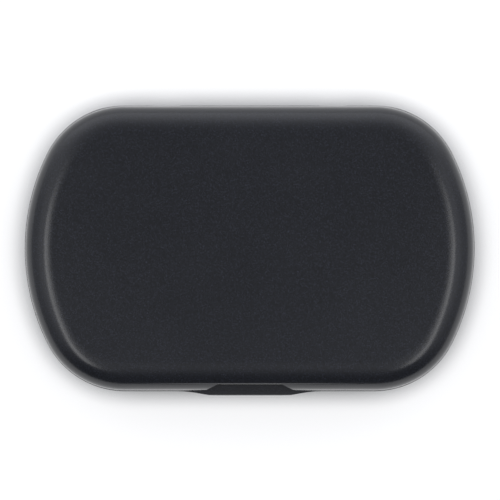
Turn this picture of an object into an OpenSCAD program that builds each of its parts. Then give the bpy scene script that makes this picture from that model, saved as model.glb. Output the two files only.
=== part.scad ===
// Pocket watercolour box: a moulded base and lid on two pin hinges, a drop-in tray that
// holds twelve half pans and a short brush, and a mixing palette that clips into the lid.
// The rim of the base lies level at base_height, the hinges are at the back (+Y), and the
// thumb lip is at the front (-Y).

/* [Case outline] */
// Width across the rim of the base, left to right
case_width = 140; // [130:1:170]
// Depth across the rim of the base, without the thumb lip
case_depth = 89; // [88:1:108]
// Radius of the four corners of the rim
corner_radius = 27; // [24:0.5:30]
// Radius of the bowed left and right sides
side_radius = 66; // [60:0.5:90]

/* [Base shell] */
// Height of the base, from the table to its rim
base_height = 14; // [11:0.5:20]
// Wall thickness of the base
base_wall = 2; // [1.6:0.1:2.6]
// Floor thickness of the base
base_floor = 1.6; // [1.2:0.1:2.4]
// Slope of the base's outer wall, in degrees
base_draft = 5; // [2:0.5:8]
// Radius of the base's bottom edge
base_edge_radius = 5; // [3:0.5:6]

/* [Lid shell] */
// Height of the lid above the rim of the base
lid_height = 11.5; // [10:0.5:16]
// Wall thickness of the lid
lid_wall = 1.8; // [1.5:0.1:2.2]
// Thickness of the lid's flat top
lid_top = 1.7; // [1.2:0.1:2.2]
// Slope of the lid's outer wall, in degrees
lid_draft = 12; // [6:0.5:14]
// Radius of the lid's soft top edge
lid_edge_radius = 7; // [4:0.5:8]
// How far the lid's edge stands inside the rim of the base
lid_setback = 0.25; // [0.1:0.05:0.5]
// Gap between the lid's edge and the rim of the base
seam_gap = 0.1; // [0.05:0.05:0.3]

/* [Rim tongue] */
// Height of the tongue that stands up from the base inside the lid
tongue_height = 1; // [0.8:0.1:1.4]
// Thickness of the tongue
tongue_wall = 0.7; // [0.6:0.1:1]
// Gap between the tongue and the lid's outer leaf
tongue_gap = 0.1; // [0.1:0.05:0.2]
// Gap above the tongue
tongue_headroom = 0.2; // [0.2:0.05:0.4]
// Width of each catch pip on the tongue
pip_width = 5; // [3:0.5:8]
// How far a catch pip stands out of the tongue
pip_proud = 0.2; // [0.1:0.05:0.25]
// Distance of each catch pip from the middle of the front
pip_offset = 25; // [24:1:30]

/* [Thumb notch] */
// Width of the notch at the lid's outer edge
notch_width = 28.6; // [20:0.2:30]
// Width of the notch at its inner side
notch_inner_width = 20; // [14:0.5:20]
// Depth of the notch behind the rim of the base
notch_depth = 2.2; // [1.8:0.1:2.6]
// Width of the lip below the notch
lip_width = 44; // [40:0.5:52]
// Width of the lip's straight front edge
lip_flat = 22; // [16:0.5:26]
// How far the lip stands out from the rim
lip_reach = 1.5; // [1:0.1:2.5]
// Thickness of the lip
lip_thickness = 2.2; // [1.6:0.1:3]
// Bevel along the lip's front edge
lip_bevel = 0.6; // [0.3:0.1:0.8]

/* [Hinges] */
// Distance between the middles of the two hinges
hinge_spacing = 52; // [44:1:54]
// Radius of the lid's knuckles
knuckle_radius = 1.9; // [1.5:0.1:2.3]
// Length of each lid knuckle
knuckle_length = 8; // [6:0.5:12]
// Length of each base lug beside a knuckle
lug_length = 6; // [4:0.5:7]
// Radius of the hinge pins
pin_radius = 0.8; // [0.6:0.05:1]
// Radial running clearance of a pin in a lid knuckle
pin_clearance = 0.05; // [0.02:0.01:0.08]
// Depth of the hinge axis below the rim of the base
axis_drop = 3.5; // [3:0.1:4.2]
// How far the knuckles stay inside the rim
knuckle_inset = 0.3; // [0.2:0.05:0.6]
// Gap round a knuckle inside its pocket
pocket_gap = 0.35; // [0.3:0.05:0.6]
// Wall of the hinge housing inside the base
housing_wall = 1.2; // [1:0.1:1.6]
// Angle at which the knuckle arms meet the pocket's sill
stop_angle = 120; // [110:1:122]

/* [Pans and paint] */
// Length of a half pan, front to back
pan_length = 19; // [17:0.5:19.5]
// Width of a half pan
pan_width = 16; // [13:0.5:16.5]
// Height of a half pan
pan_height = 10; // [8:0.5:12]
// Wall thickness of a pan
pan_wall = 0.8; // [0.6:0.1:1.2]
// Corner radius of a pan at its top
pan_corner = 1.8; // [1.6:0.1:2.5]
// Height of the thicker band round a pan's top
pan_band_height = 1.4; // [1:0.1:2]
// How far that band stands out
pan_band = 0.3; // [0.2:0.05:0.4]
// How much narrower each side of a pan is at the bottom
pan_taper = 0.6; // [0.3:0.05:0.9]
// Depth of the paint's surface below the top of its pan
paint_drop = 1.6; // [1:0.1:3]
// Hollow in the middle of each cake of paint
paint_hollow = 0.7; // [0.3:0.1:1.2]
// Gap between a cake of paint and its pan
paint_gap = 0.02; // [0.01:0.01:0.1]

/* [Tray] */
// Pans in each of the two rows
pans_per_row = 6; // [6:1:6]
// Free space between neighbouring pans
pan_spacing = 0.8; // [0.6:0.1:1.2]
// Free space at each end of a pan
pan_end_gap = 0.3; // [0.2:0.05:0.5]
// Thickness of the tray's moulded walls and floors
tray_wall = 1; // [0.8:0.1:1.3]
// Width of the brush channel between the rows
channel_width = 11.8; // [9:0.2:13]
// Width of the rib between a row and the brush channel
channel_rib = 1.6; // [1.2:0.1:2]
// How far the pans stand above the tray's deck
pan_proud = 0.6; // [0.3:0.1:1]
// Gap between the tray and the base
tray_gap = 0.4; // [0.2:0.05:0.6]
// Depth of the mixing wells in the tray
tray_well_depth = 3.6; // [2.5:0.1:3.9]
// Border of deck between the tray's edge and its wells
well_border = 2.8; // [2:0.1:4]
// Corner radius of the mixing wells
well_corner = 3; // [2:0.5:4]
// Radius between a mixing well's walls and its floor
well_radius = 1.6; // [1:0.1:1.8]
// Slope of a mixing well's walls, in degrees
well_draft = 6; // [2:0.5:8]
// Height of the ribs between the feet of the pans
divider_height = 2.5; // [1:0.5:4]
// Thickness of those ribs
divider_wall = 1; // [0.8:0.1:1.2]

/* [Lid palette] */
// Thickness of the palette's moulded walls
palette_wall = 1; // [0.8:0.1:1.3]
// Depth of the palette's wells
palette_well_depth = 3.8; // [2.5:0.1:3.9]
// Height of the palette's face above the rim of the base
palette_rise = 1.7; // [1.5:0.1:2.4]
// Least gap between the pans and the palette above them
pan_headroom = 1; // [0.5:0.1:2]
// Gap between the palette's edge and the lid
palette_gap = 0.15; // [0.1:0.05:0.3]
// Distance from the middle to the rib beside each end well
palette_rib_x = 40; // [34:1:46]
// Width of the ribs between the palette's wells
palette_rib = 2.4; // [2:0.1:4]
// How far the lid's nubs reach under the palette's edge
nub_reach = 0.6; // [0.4:0.1:1]
// Width of each nub
nub_width = 5; // [3:0.5:8]

/* [Brush] */
// Length of the whole brush
brush_length = 97; // [80:1:100]
// Length of the hair that shows
hair_length = 14; // [10:0.5:18]
// Length of the ferrule
ferrule_length = 20; // [14:0.5:26]
// Radius of the handle's belly
handle_radius = 3.3; // [2.6:0.1:4]
// Radius of the ferrule where the handle enters it
ferrule_radius = 2.35; // [2:0.05:2.6]
// Radius of the ferrule where the hair leaves it
ferrule_mouth = 2; // [1.6:0.05:2.2]
// Thickness of the ferrule's sheet metal
ferrule_sheet = 0.3; // [0.2:0.05:0.4]
// Height of the saddles that hold the brush off the channel's floor
saddle_lift = 0.8; // [0.4:0.1:1.5]
// Gap between a saddle and the handle
saddle_gap = 0.05; // [0.02:0.01:0.2]

/* [Hidden] */
$fn = 64;
CAKES = ["paint_lemon", "paint_deep_yellow", "paint_orange", "paint_scarlet", "paint_crimson",
  "paint_violet", "paint_ultramarine", "paint_sky_blue", "paint_viridian", "paint_sap_green",
  "paint_ochre", "paint_umber"];
PANS = ["half_pan_01", "half_pan_02", "half_pan_03", "half_pan_04", "half_pan_05",
  "half_pan_06", "half_pan_07", "half_pan_08", "half_pan_09", "half_pan_10", "half_pan_11",
  "half_pan_12"];

case_black = "#2b2c31";
tray_white = "#f2f2ee";
pan_white = "#fbfbf8";
paint_colors = ["#f4e04a", "#f2b01e", "#e8641b", "#cf2a20", "#8e1230", "#4a2266",
  "#1c2f8c", "#2f86b8", "#0f5c4c", "#4d6b1e", "#b67a26", "#4a2f1e"];

arc_steps = 10; // flats in a rounded edge of a moulded section
side_steps = 22; // flats along a side of a thin flat piece, such as the tray's deck
corner_steps = 14; // flats round each of its corners
overlap = 1; // how far fused pieces run into each other

// The outline is made of three arcs: a side arc and two corner arcs that meet it smoothly.
side_x = case_width / 2 - side_radius;
corner_y = case_depth / 2 - corner_radius;
side_angle = asin(corner_y / (side_radius - corner_radius));
corner_x = side_x + (side_radius - corner_radius) * cos(side_angle);

// Inset at which a rounded edge turns into the flat beyond it.
function flat_inset(inset, h, r, draft) =
  inset + (h - r + r * sin(draft)) * tan(draft) + r * cos(draft);

// Section of a drafted wall with a rounded edge, from the rim (z = 0) to the flat (z = h).
// x counts outwards from the rim of the base, so it is negative inside.
function moulded_edge(inset, h, r, draft) = concat(
  [[-inset, 0]],
  [for (i = [0 : arc_steps])
    let (a = draft + (90 - draft) * i / arc_steps)
    [r * cos(a) - flat_inset(inset, h, r, draft), h - r + r * sin(a)]]);

// Inset of a moulded wall's face at a height above its rim, below the rounded edge.
function wall_inset(inset, z, draft) = inset + z * tan(draft);

lid_rise = lid_height - seam_gap;
seam_z = base_height + seam_gap;
core_inset = flat_inset(lid_setback, lid_rise, lid_edge_radius, lid_draft) + 1;
tongue_inset = base_wall - tongue_wall;
leaf_inset = tongue_inset - tongue_gap;
rebate_height = tongue_height + tongue_headroom - seam_gap;

hinge_y = case_depth / 2 - knuckle_radius - knuckle_inset;
hinge_z = base_height - axis_drop;
hinge_back = case_depth / 2 - hinge_y;
arm_face = knuckle_radius - 0.05; // just inside the barrel, so the two never run tangent
pocket_half = knuckle_length / 2 + pocket_gap;
housing_half = pocket_half + lug_length;
housing_front = hinge_y - knuckle_radius - pocket_gap - housing_wall;
// Height at which the opened arm's outer face crosses the base's outer wall.
sill_wall_y = hinge_back - wall_inset(0, 2 * axis_drop, base_draft);
sill_z = hinge_z - arm_face * sin(stop_angle)
  + (sill_wall_y - arm_face * cos(stop_angle)) / sin(stop_angle) * cos(stop_angle);
// The base's back rim is rounded to this radius about the hinge axis, so the lid's edge can
// roll over it.
roll_radius = axis_drop + seam_gap / 2;

notch_wall = lid_wall;
notch_room = notch_width / 2 + notch_wall + 1;

tray_floor_z = base_floor + tray_wall;
pan_top_z = tray_floor_z + pan_height;
deck_z = pan_top_z - pan_proud;
trough_length = pans_per_row * (pan_width + pan_spacing);
trough_width = pan_length + 2 * pan_end_gap;
tray_inset = wall_inset(base_wall, base_height - deck_z + tray_wall, base_draft) + tray_gap;
tray_back = housing_front - tray_gap;
back_row_y = tray_back - well_border - trough_width / 2;
channel_y = back_row_y - trough_width / 2 - channel_rib - channel_width / 2;
front_row_y = channel_y - channel_width / 2 - channel_rib - trough_width / 2;
front_well_back = front_row_y - trough_width / 2 - well_border;
end_well_x = trough_length / 2 + well_border;
well_inset = tray_inset + well_border;

palette_z = max(base_height + palette_rise, pan_top_z + pan_headroom);
palette_inset = wall_inset(lid_setback + lid_wall, palette_z - base_height + palette_wall,
  lid_draft) + palette_gap;
palette_well_inset = palette_inset + well_border;

brush_start = -brush_length / 2;
brush_z = tray_floor_z + saddle_lift + handle_radius;
ferrule_start = brush_length / 2 - hair_length - ferrule_length;
ferrule_end = brush_length / 2 - hair_length;
tenon = ferrule_length * 0.4;
belly_x = brush_start + 24;
neck_x = ferrule_start - 5;
neck_radius = ferrule_radius - 0.05;

// Slice of a disc between two angles.
module sector(r, from, to) {
  mid = (from + to) / 2;
  intersection() {
    circle(r);
    polygon([[0, 0], 2 * r * [cos(from), sin(from)], 2 * r * [cos(mid), sin(mid)],
      2 * r * [cos(to), sin(to)]]);
  }
}

// Points along an arc. Where the next arc starts at its end, last is 0 and the end is left out.
function arc(center, r, from, to, steps, last) =
  [for (i = [0 : steps - 1 + last])
    let (a = from + (to - from) * i / steps) center + r * [cos(a), sin(a)]];

// The case's outline, drawn smaller by inset.
module outline(inset) {
  side_r = side_radius - inset;
  corner_r = corner_radius - inset;
  polygon(concat(
    arc([side_x, 0], side_r, -side_angle, side_angle, side_steps, 0),
    arc([corner_x, corner_y], corner_r, side_angle, 90, corner_steps, 1),
    arc([-corner_x, corner_y], corner_r, 90, 180 - side_angle, corner_steps, 0),
    arc([-side_x, 0], side_r, 180 - side_angle, 180 + side_angle, side_steps, 0),
    arc([-corner_x, -corner_y], corner_r, 180 + side_angle, 270, corner_steps, 1),
    arc([corner_x, -corner_y], corner_r, 270, 360 - side_angle, corner_steps, 0)));
}

// Sweeps a section round the outline. The section's x is the distance out from the rim.
module around_rim() {
  for (side = [0, 1])
    mirror([side, 0, 0]) {
      translate([side_x, 0, 0])
        rotate_extrude(angle = 2 * side_angle, start = -side_angle)
          translate([side_radius, 0]) children();
      for (end = [0, 1])
        mirror([0, end, 0])
          translate([corner_x, corner_y, 0])
            rotate_extrude(angle = 90 - side_angle, start = side_angle)
              translate([corner_radius, 0]) children();
    }
  for (end = [0, 1])
    mirror([0, end, 0])
      translate([-corner_x, 0, 0])
        rotate([90, 0, 90])
          linear_extrude(2 * corner_x) translate([case_depth / 2, 0]) children();
}

// Solid form of a moulded half: its rounded edge all round, and the core inside it.
module moulded_form(edge) {
  last = edge[len(edge) - 1];
  around_rim()
    polygon(concat(edge, [[-core_inset - overlap, last.y], [-core_inset - overlap, 0]]));
  linear_extrude(last.y) outline(core_inset);
}

// A profile in Y and Z, drawn about the hinge axis and stretched along X.
module along_hinge(length) {
  for (side = [-1, 1])
    translate([side * hinge_spacing / 2, hinge_y, hinge_z])
      rotate([90, 0, 90])
        linear_extrude(length, center = true) children();
}

// Box with round corners whose sides lean in by taper on their way down.
module tapered_box(length_x, length_y, height, corner, taper) {
  x = length_x / 2 - corner;
  y = length_y / 2 - corner;
  rotate([90, 0, 90])
    linear_extrude(2 * x, center = true)
      polygon([[-y - corner + taper, 0], [y + corner - taper, 0],
        [y + corner, height], [-y - corner, height]]);
  rotate([90, 0, 0])
    linear_extrude(2 * y, center = true)
      polygon([[-x - corner + taper, 0], [x + corner - taper, 0],
        [x + corner, height], [-x - corner, height]]);
  for (turn = [0, 180]) {
    rotate(turn) translate([x, y, 0]) corner_wedge(height, corner, taper);
    mirror([1, 0, 0]) rotate(turn) translate([x, y, 0]) corner_wedge(height, corner, taper);
  }
}

// Box with round corners, from one corner point of its open face (z = 0) to the other. The
// section of its walls is an edge, drawn as moulded_edge draws one.
module moulded_box(low, high, edge, corner) {
  x = (high.x - low.x) / 2 - corner;
  y = (high.y - low.y) / 2 - corner;
  last = len(edge) - 1;
  wall = [for (p = edge) [corner + p.x, p.y]];
  facing = [for (i = [last : -1 : 0]) [-wall[i].x, wall[i].y]];
  translate([(low.x + high.x) / 2, (low.y + high.y) / 2, 0]) {
    rotate([90, 0, 90])
      linear_extrude(2 * x, center = true)
        polygon(concat([for (p = wall) p + [y, 0]], [for (p = facing) p - [y, 0]]));
    rotate([90, 0, 0])
      linear_extrude(2 * y, center = true)
        polygon(concat([for (p = wall) p + [x, 0]], [for (p = facing) p - [x, 0]]));
    for (turn = [0, 180], side = [0, 1])
      mirror([side, 0, 0])
        rotate(turn)
          translate([x, y, 0])
            rotate_extrude(angle = 90)
              polygon(concat([[0, 0]], wall, [[0, edge[last].y]]));
  }
}

module corner_wedge(height, corner, taper) {
  rotate_extrude(angle = 90)
    polygon([[0, 0], [corner - taper, 0], [corner, height], [0, height]]);
}

// Rectangle with round corners, from one corner point to the other.
module round_rect(low, high, r) {
  size = high - low;
  translate(low) {
    translate([r, 0]) square([size.x - 2 * r, size.y]);
    translate([0, r]) square([size.x, size.y - 2 * r]);
    translate([size.x - r, size.y - r]) sector(r, 0, 90);
    translate([r, size.y - r]) sector(r, 90, 180);
    translate([r, r]) sector(r, 180, 270);
    translate([size.x - r, r]) sector(r, 270, 360);
  }
}

// The lip's plan: straight in front, with a smooth S-curve back to the rim at each end.
module lip_plan() {
  steps = 12;
  function ease(u) = (1 - cos(180 * u)) / 2;
  right = [for (i = [0 : steps])
    [lip_width / 2 - (lip_width - lip_flat) / 2 * i / steps,
      -case_depth / 2 - lip_reach * ease(i / steps)]];
  left = [for (i = [steps : -1 : 0]) [-right[i].x, right[i].y]];
  polygon(concat([[lip_width / 2, -case_depth / 2 + overlap]], right, left,
    [[-lip_width / 2, -case_depth / 2 + overlap]]));
}

module thumb_lip() {
  front = -case_depth / 2 - lip_reach;
  back = -case_depth / 2 + overlap;
  intersection() {
    translate([0, 0, base_height - lip_thickness - overlap])
      linear_extrude(lip_thickness + overlap) lip_plan();
    rotate([90, 0, 90])
      linear_extrude(lip_width, center = true)
        polygon([[back, base_height], [front + lip_bevel, base_height],
          [front, base_height - lip_bevel],
          [front, base_height - lip_thickness + lip_bevel],
          [front + lip_bevel, base_height - lip_thickness],
          [back - overlap / 2, base_height - lip_thickness],
          [back, base_height - lip_thickness - overlap / 2]]);
  }
}

module hinge_housings() {
  top = axis_drop;
  low = sill_z - hinge_z - housing_wall;
  front = housing_front - hinge_y;
  wall = hinge_back - base_wall / 2;
  along_hinge(2 * housing_half)
    polygon([[front, low + overlap], [front, top], [wall, top], [wall, low - overlap],
      [wall - base_wall, low - overlap]]);
}

module hinge_pockets() {
  front = -knuckle_radius - pocket_gap;
  low = sill_z - hinge_z;
  along_hinge(2 * pocket_half)
    translate([front, low])
      square([hinge_back - front + overlap, axis_drop - low + tongue_height + overlap]);
}

// What the lid's edge passes through behind the hinge axis.
module back_rim_relief() {
  translate([0, hinge_y, hinge_z])
    rotate([90, 0, 90])
      linear_extrude(2 * (corner_x + corner_radius), center = true)
        difference() {
          translate([0, axis_drop / 2]) square([hinge_back + overlap, axis_drop]);
          circle(roll_radius);
        }
}

module catch_pips() {
  for (side = [-1, 1])
    translate([side * pip_offset, -case_depth / 2 + tongue_inset + tongue_gap,
      base_height + tongue_height / 2])
      rotate([0, 90, 0]) cylinder(h = pip_width, r = pip_proud + tongue_gap, center = true);
}

module base_shell() {
  outer = moulded_edge(0, base_height, base_edge_radius, base_draft);
  inner = moulded_edge(base_wall, base_height - base_floor, base_edge_radius - base_wall,
    base_draft);
  color(case_black)
    difference() {
      union() {
        difference() {
          translate([0, 0, base_height]) mirror([0, 0, 1]) moulded_form(outer);
          translate([0, 0, base_height]) mirror([0, 0, 1]) moulded_form(inner);
          back_rim_relief();
        }
        around_rim()
          translate([-base_wall, base_height - overlap])
            square([tongue_wall, tongue_height + overlap]);
        catch_pips();
        hinge_housings();
        thumb_lip();
      }
      hinge_pockets();
      along_hinge(4 * housing_half) circle(pin_radius);
      translate([-notch_room, -case_depth / 2, base_height])
        cube([2 * notch_room, 3 * base_wall, tongue_height + overlap]);
    }
}

// The notch's plan: wider at the rim, with its ends sloping in.
module notch_plan() {
  rim = -case_depth / 2;
  slope = (notch_width - notch_inner_width) / 2 / notch_depth;
  out = notch_width / 2 + slope * overlap;
  polygon([[-notch_inner_width / 2, rim + notch_depth], [notch_inner_width / 2, rim + notch_depth],
    [out, rim - overlap], [-out, rim - overlap]]);
}

module hinge_arms() {
  along_hinge(knuckle_length) {
    circle(knuckle_radius);
    polygon([[0, 0], [arm_face, 0], [arm_face, axis_drop + seam_gap + 0.1],
      [arm_face - 0.7, axis_drop + rebate_height + 0.6], [0, axis_drop + rebate_height + 0.6]]);
  }
}

// Nubs on the lid's inner wall, which hold the palette's edge up.
module palette_nubs() {
  deep = case_depth / 2 - palette_inset - nub_reach;
  root = case_depth / 2 - lid_setback - lid_wall / 2;
  drop = palette_rise - tongue_height - tongue_headroom;
  for (end = [0, 1])
    mirror([0, end, 0])
      for (side = [-1, 1])
        translate([side * hinge_spacing * 0.7, 0, palette_z])
          rotate([90, 0, 90])
            linear_extrude(nub_width, center = true)
              polygon([[deep, 0], [deep, -drop / 2], [deep + drop / 2, -drop],
                [root, -drop], [root, 0]]);
}

module lid_shell() {
  outer = moulded_edge(lid_setback, lid_rise, lid_edge_radius, lid_draft);
  inner = moulded_edge(lid_setback + lid_wall, lid_rise - lid_top, lid_edge_radius - lid_wall,
    lid_draft);
  color(case_black)
    difference() {
      union() {
        difference() {
          translate([0, 0, seam_z]) moulded_form(outer);
          translate([0, 0, seam_z]) moulded_form(inner);
          translate([0, 0, seam_z])
            around_rim()
              translate([-leaf_inset - base_wall, -overlap])
                square([base_wall, rebate_height + overlap]);
        }
        intersection() {
          translate([0, 0, seam_z]) moulded_form(outer);
          translate([-notch_width / 2 - notch_wall, -case_depth / 2, seam_z])
            cube([notch_width + 2 * notch_wall, notch_depth + notch_wall,
              lid_rise - lid_top / 2]);
        }
        hinge_arms();
        palette_nubs();
      }
      translate([0, 0, base_height]) linear_extrude(lid_height) notch_plan();
      along_hinge(2 * knuckle_length) circle(pin_radius + pin_clearance);
      for (side = [-1, 1])
        translate([side * pip_offset - pip_width / 2 - tongue_gap,
          -case_depth / 2 + leaf_inset - pip_proud - tongue_gap / 2, seam_z - overlap])
          cube([pip_width + 2 * tongue_gap, base_wall, rebate_height + overlap]);
    }
}

module hinge_pin(side) {
  length = 2 * housing_half;
  chamfer = pin_radius / 4;
  color("#b9bcc0")
    translate([side * hinge_spacing / 2 - length / 2, hinge_y, hinge_z])
      rotate([0, 90, 0])
        rotate_extrude()
          polygon([[0, 0], [pin_radius - chamfer, 0], [pin_radius, chamfer],
            [pin_radius, length - chamfer], [pin_radius - chamfer, length], [0, length]]);
}

// A trough of the tray: its walls and floor, or the space inside them.
module trough(y, width, grow) {
  translate([-trough_length / 2 - grow, y - width / 2 - grow, tray_floor_z - grow])
    cube([trough_length + 2 * grow, width + 2 * grow, deck_z - tray_floor_z + grow]);
}

module troughs(grow) {
  trough(back_row_y, trough_width, grow);
  trough(channel_y, channel_width, grow);
  trough(front_row_y, trough_width, grow);
}

// The room that the base's rounded inside leaves for the tray.
module base_room() {
  edge = moulded_edge(base_wall + tray_gap, base_height - base_floor,
    base_edge_radius - base_wall, base_draft);
  translate([0, 0, base_height]) mirror([0, 0, 1]) moulded_form(edge);
}

// The tray's mixing wells, as the corner points of their plans: three in front of the pans,
// and one at each end.
function tray_wells(grow) =
  let (third = (2 * end_well_x - well_border) / 3, low = -case_depth / 2)
    concat(
      [for (i = [-1 : 1])
        [[(i - 0.5) * third + well_border / 2 - grow, low],
          [(i + 0.5) * third - well_border / 2 + grow, front_well_back + grow]]],
      [[[end_well_x - grow, front_row_y - trough_width / 2 - grow],
          [case_width / 2, tray_back - well_border + grow]],
        [[-case_width / 2, front_row_y - trough_width / 2 - grow],
          [-end_well_x + grow, tray_back - well_border + grow]]]);

// The palette's four wells, in the same way.
function palette_wells(grow) =
  let (gap = palette_rib / 2 - grow, low = -case_depth / 2, far = case_width / 2 + well_corner)
    [[[gap, low], [palette_rib_x - gap, -low]], [[-palette_rib_x + gap, low], [-gap, -low]],
      [[palette_rib_x + gap, low], [far, -low]], [[-far, low], [-palette_rib_x - gap, -low]]];

// Plan of a set of wells, kept inside the outline at an inset.
module well_plan(wells, inset) {
  intersection() {
    outline(inset);
    union() for (well = wells) round_rect(well[0], well[1], well_corner);
  }
}

// The space inside a set of wells, from their open face (z = 0) to their floors: drafted walls
// that meet the floor in a radius, so that a brush can be wiped along them.
module well_space(wells, inset, depth) {
  intersection() {
    moulded_form(moulded_edge(inset, depth, well_radius, well_draft));
    union()
      for (well = wells)
        moulded_box(well[0], well[1], moulded_edge(0, depth, well_radius, well_draft),
          well_corner);
  }
}

module pan_dividers() {
  pitch = pan_width + pan_spacing;
  for (y = [back_row_y, front_row_y])
    for (i = [1 : pans_per_row - 1])
      translate([-trough_length / 2 + i * pitch - divider_wall / 2, y - trough_width / 2,
        tray_floor_z - tray_wall / 2])
        cube([divider_wall, trough_width, divider_height + tray_wall / 2]);
}

module brush_saddle(x, radius) {
  translate([x, channel_y, 0])
    rotate([90, 0, 90])
      linear_extrude(tray_wall, center = true)
        difference() {
          translate([-channel_width / 2 - tray_wall / 2, tray_floor_z - tray_wall / 2])
            square([channel_width + tray_wall, brush_z - tray_floor_z]);
          translate([0, brush_z + saddle_gap]) circle(radius + saddle_gap);
        }
}

module pan_tray() {
  color(tray_white)
    difference() {
      union() {
        difference() {
          union() {
            intersection() {
              translate([0, 0, deck_z - tray_wall]) linear_extrude(tray_wall) outline(tray_inset);
              translate([-case_width / 2, -case_depth / 2, 0])
                cube([case_width, tray_back + case_depth / 2, base_height]);
            }
            intersection() {
              troughs(tray_wall);
              base_room();
            }
            translate([0, 0, deck_z - tray_well_depth - tray_wall])
              linear_extrude(tray_well_depth + tray_wall)
                well_plan(tray_wells(tray_wall), well_inset - tray_wall);
          }
          troughs(0);
        }
        pan_dividers();
        brush_saddle(belly_x, handle_radius);
        brush_saddle(neck_x + tray_wall / 2, neck_radius);
      }
      translate([0, 0, deck_z])
        mirror([0, 0, 1]) well_space(tray_wells(0), well_inset, tray_well_depth);
    }
}

module lid_palette() {
  color(tray_white)
    difference() {
      translate([0, 0, palette_z]) {
        linear_extrude(palette_wall) outline(palette_inset);
        linear_extrude(palette_well_depth + palette_wall)
          well_plan(palette_wells(palette_wall), palette_well_inset - palette_wall);
      }
      translate([0, 0, palette_z])
        well_space(palette_wells(0), palette_well_inset, palette_well_depth);
      translate([-notch_width / 2 - notch_wall - tray_gap, -case_depth / 2, palette_z - overlap])
        cube([notch_width + 2 * (notch_wall + tray_gap), notch_depth + notch_wall + palette_gap,
          palette_well_depth + 2 * overlap]);
    }
}

// Puts a pan or its paint in place: 0 to 5 are the back row, 6 to 11 the front row.
module at_pan(i) {
  column = i % pans_per_row;
  row_y = i < pans_per_row ? back_row_y : front_row_y;
  x = (column - (pans_per_row - 1) / 2) * (pan_width + pan_spacing);
  translate([x, row_y, tray_floor_z]) children();
}

module half_pan(i) {
  body_x = pan_width - 2 * pan_band;
  body_y = pan_length - 2 * pan_band;
  color(pan_white)
    at_pan(i)
      difference() {
        union() {
          tapered_box(body_x, body_y, pan_height, pan_corner - pan_band, pan_taper);
          translate([0, 0, pan_height - pan_band_height])
            tapered_box(pan_width, pan_length, pan_band_height, pan_corner, pan_band / 2);
        }
        translate([0, 0, pan_wall]) pan_space(pan_height - pan_wall, 0);
      }
}

// The space inside a pan, up to a height above the pan's floor.
module pan_space(height, gap) {
  full = pan_height - pan_wall;
  low_taper = pan_taper * (height / full);
  shrink = 2 * (pan_taper - low_taper);
  round_by = pan_corner - pan_band - (pan_taper - low_taper) / 2;
  tapered_box(pan_width - 2 * pan_band - 2 * pan_wall - shrink - 2 * gap,
    pan_length - 2 * pan_band - 2 * pan_wall - shrink - 2 * gap, height, round_by, low_taper);
}

// A cast cake of paint, hollowed a little in the middle as it dries.
module paint(i) {
  depth = pan_height - pan_wall - paint_drop;
  reach = pan_length / 2;
  hollow_radius = (reach * reach + paint_hollow * paint_hollow) / 2 / paint_hollow;
  color(paint_colors[i])
    at_pan(i)
      translate([0, 0, pan_wall])
        difference() {
          pan_space(depth, paint_gap);
          translate([0, 0, depth - paint_hollow + hollow_radius])
            sphere(r = hollow_radius, $fn = 96);
        }
}

// A turned piece of the brush, from points of [distance along the brush, radius].
module turned(points) {
  translate([0, channel_y, brush_z])
    rotate([0, 90, 0])
      rotate_extrude()
        polygon([for (p = points) [p[1], p[0]]]);
}

module brush_handle() {
  start = brush_start;
  color("#7a1f1c")
    turned([[start, 0], [start, handle_radius * 0.45], [start + 0.6, handle_radius * 0.62],
      [start + 2, handle_radius * 0.76], [start + 6, handle_radius * 0.88],
      [start + 14, handle_radius * 0.97], [belly_x, handle_radius],
      [belly_x + 10, handle_radius * 0.98], [belly_x + 20, handle_radius * 0.9],
      [neck_x, neck_radius], [ferrule_start, neck_radius - 0.1],
      [ferrule_start, ferrule_radius - ferrule_sheet],
      [ferrule_start + tenon, ferrule_radius - ferrule_sheet - 0.1],
      [ferrule_start + tenon, 0]]);
}

// The ferrule: rolled sheet, with two crimped grooves that grip the handle.
module brush_ferrule() {
  function groove(x) = [[x, ferrule_radius], [x + 0.4, ferrule_radius - 0.12],
    [x + 0.8, ferrule_radius - 0.12], [x + 1.2, ferrule_radius]];
  color("#c9cbd0")
    turned(concat(
      [[ferrule_start, ferrule_radius - ferrule_sheet], [ferrule_start, ferrule_radius]],
      groove(ferrule_start + 2),
      groove(ferrule_start + 4.4),
      [[ferrule_start + tenon + 1, ferrule_radius], [ferrule_end, ferrule_mouth],
        [ferrule_end, ferrule_mouth - ferrule_sheet],
        [ferrule_start + tenon, ferrule_radius - ferrule_sheet - 0.1]]));
}

module brush_hair() {
  root = ferrule_mouth - ferrule_sheet;
  tip = ferrule_end + hair_length;
  color("#5b3a22")
    turned([[ferrule_end - 5, 0], [ferrule_end - 5, root], [ferrule_end, root],
      [ferrule_end + hair_length * 0.15, root * 1.12],
      [ferrule_end + hair_length * 0.35, root * 1.15],
      [ferrule_end + hair_length * 0.55, root * 0.98],
      [ferrule_end + hair_length * 0.75, root * 0.62],
      [ferrule_end + hair_length * 0.9, root * 0.26], [tip, 0.05], [tip, 0]]);
}

base_shell();
lid_shell();
hinge_pin(-1);  // hinge_pin_left
hinge_pin(1);  // hinge_pin_right
pan_tray();
lid_palette();
brush_handle();
brush_ferrule();
brush_hair();
for (i = [0 : 2 * pans_per_row - 1]) {
  half_pan(i);
  paint(i);
}
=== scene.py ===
import bpy
import math
import random
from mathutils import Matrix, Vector
from mathutils.bvhtree import BVHTree


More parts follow.
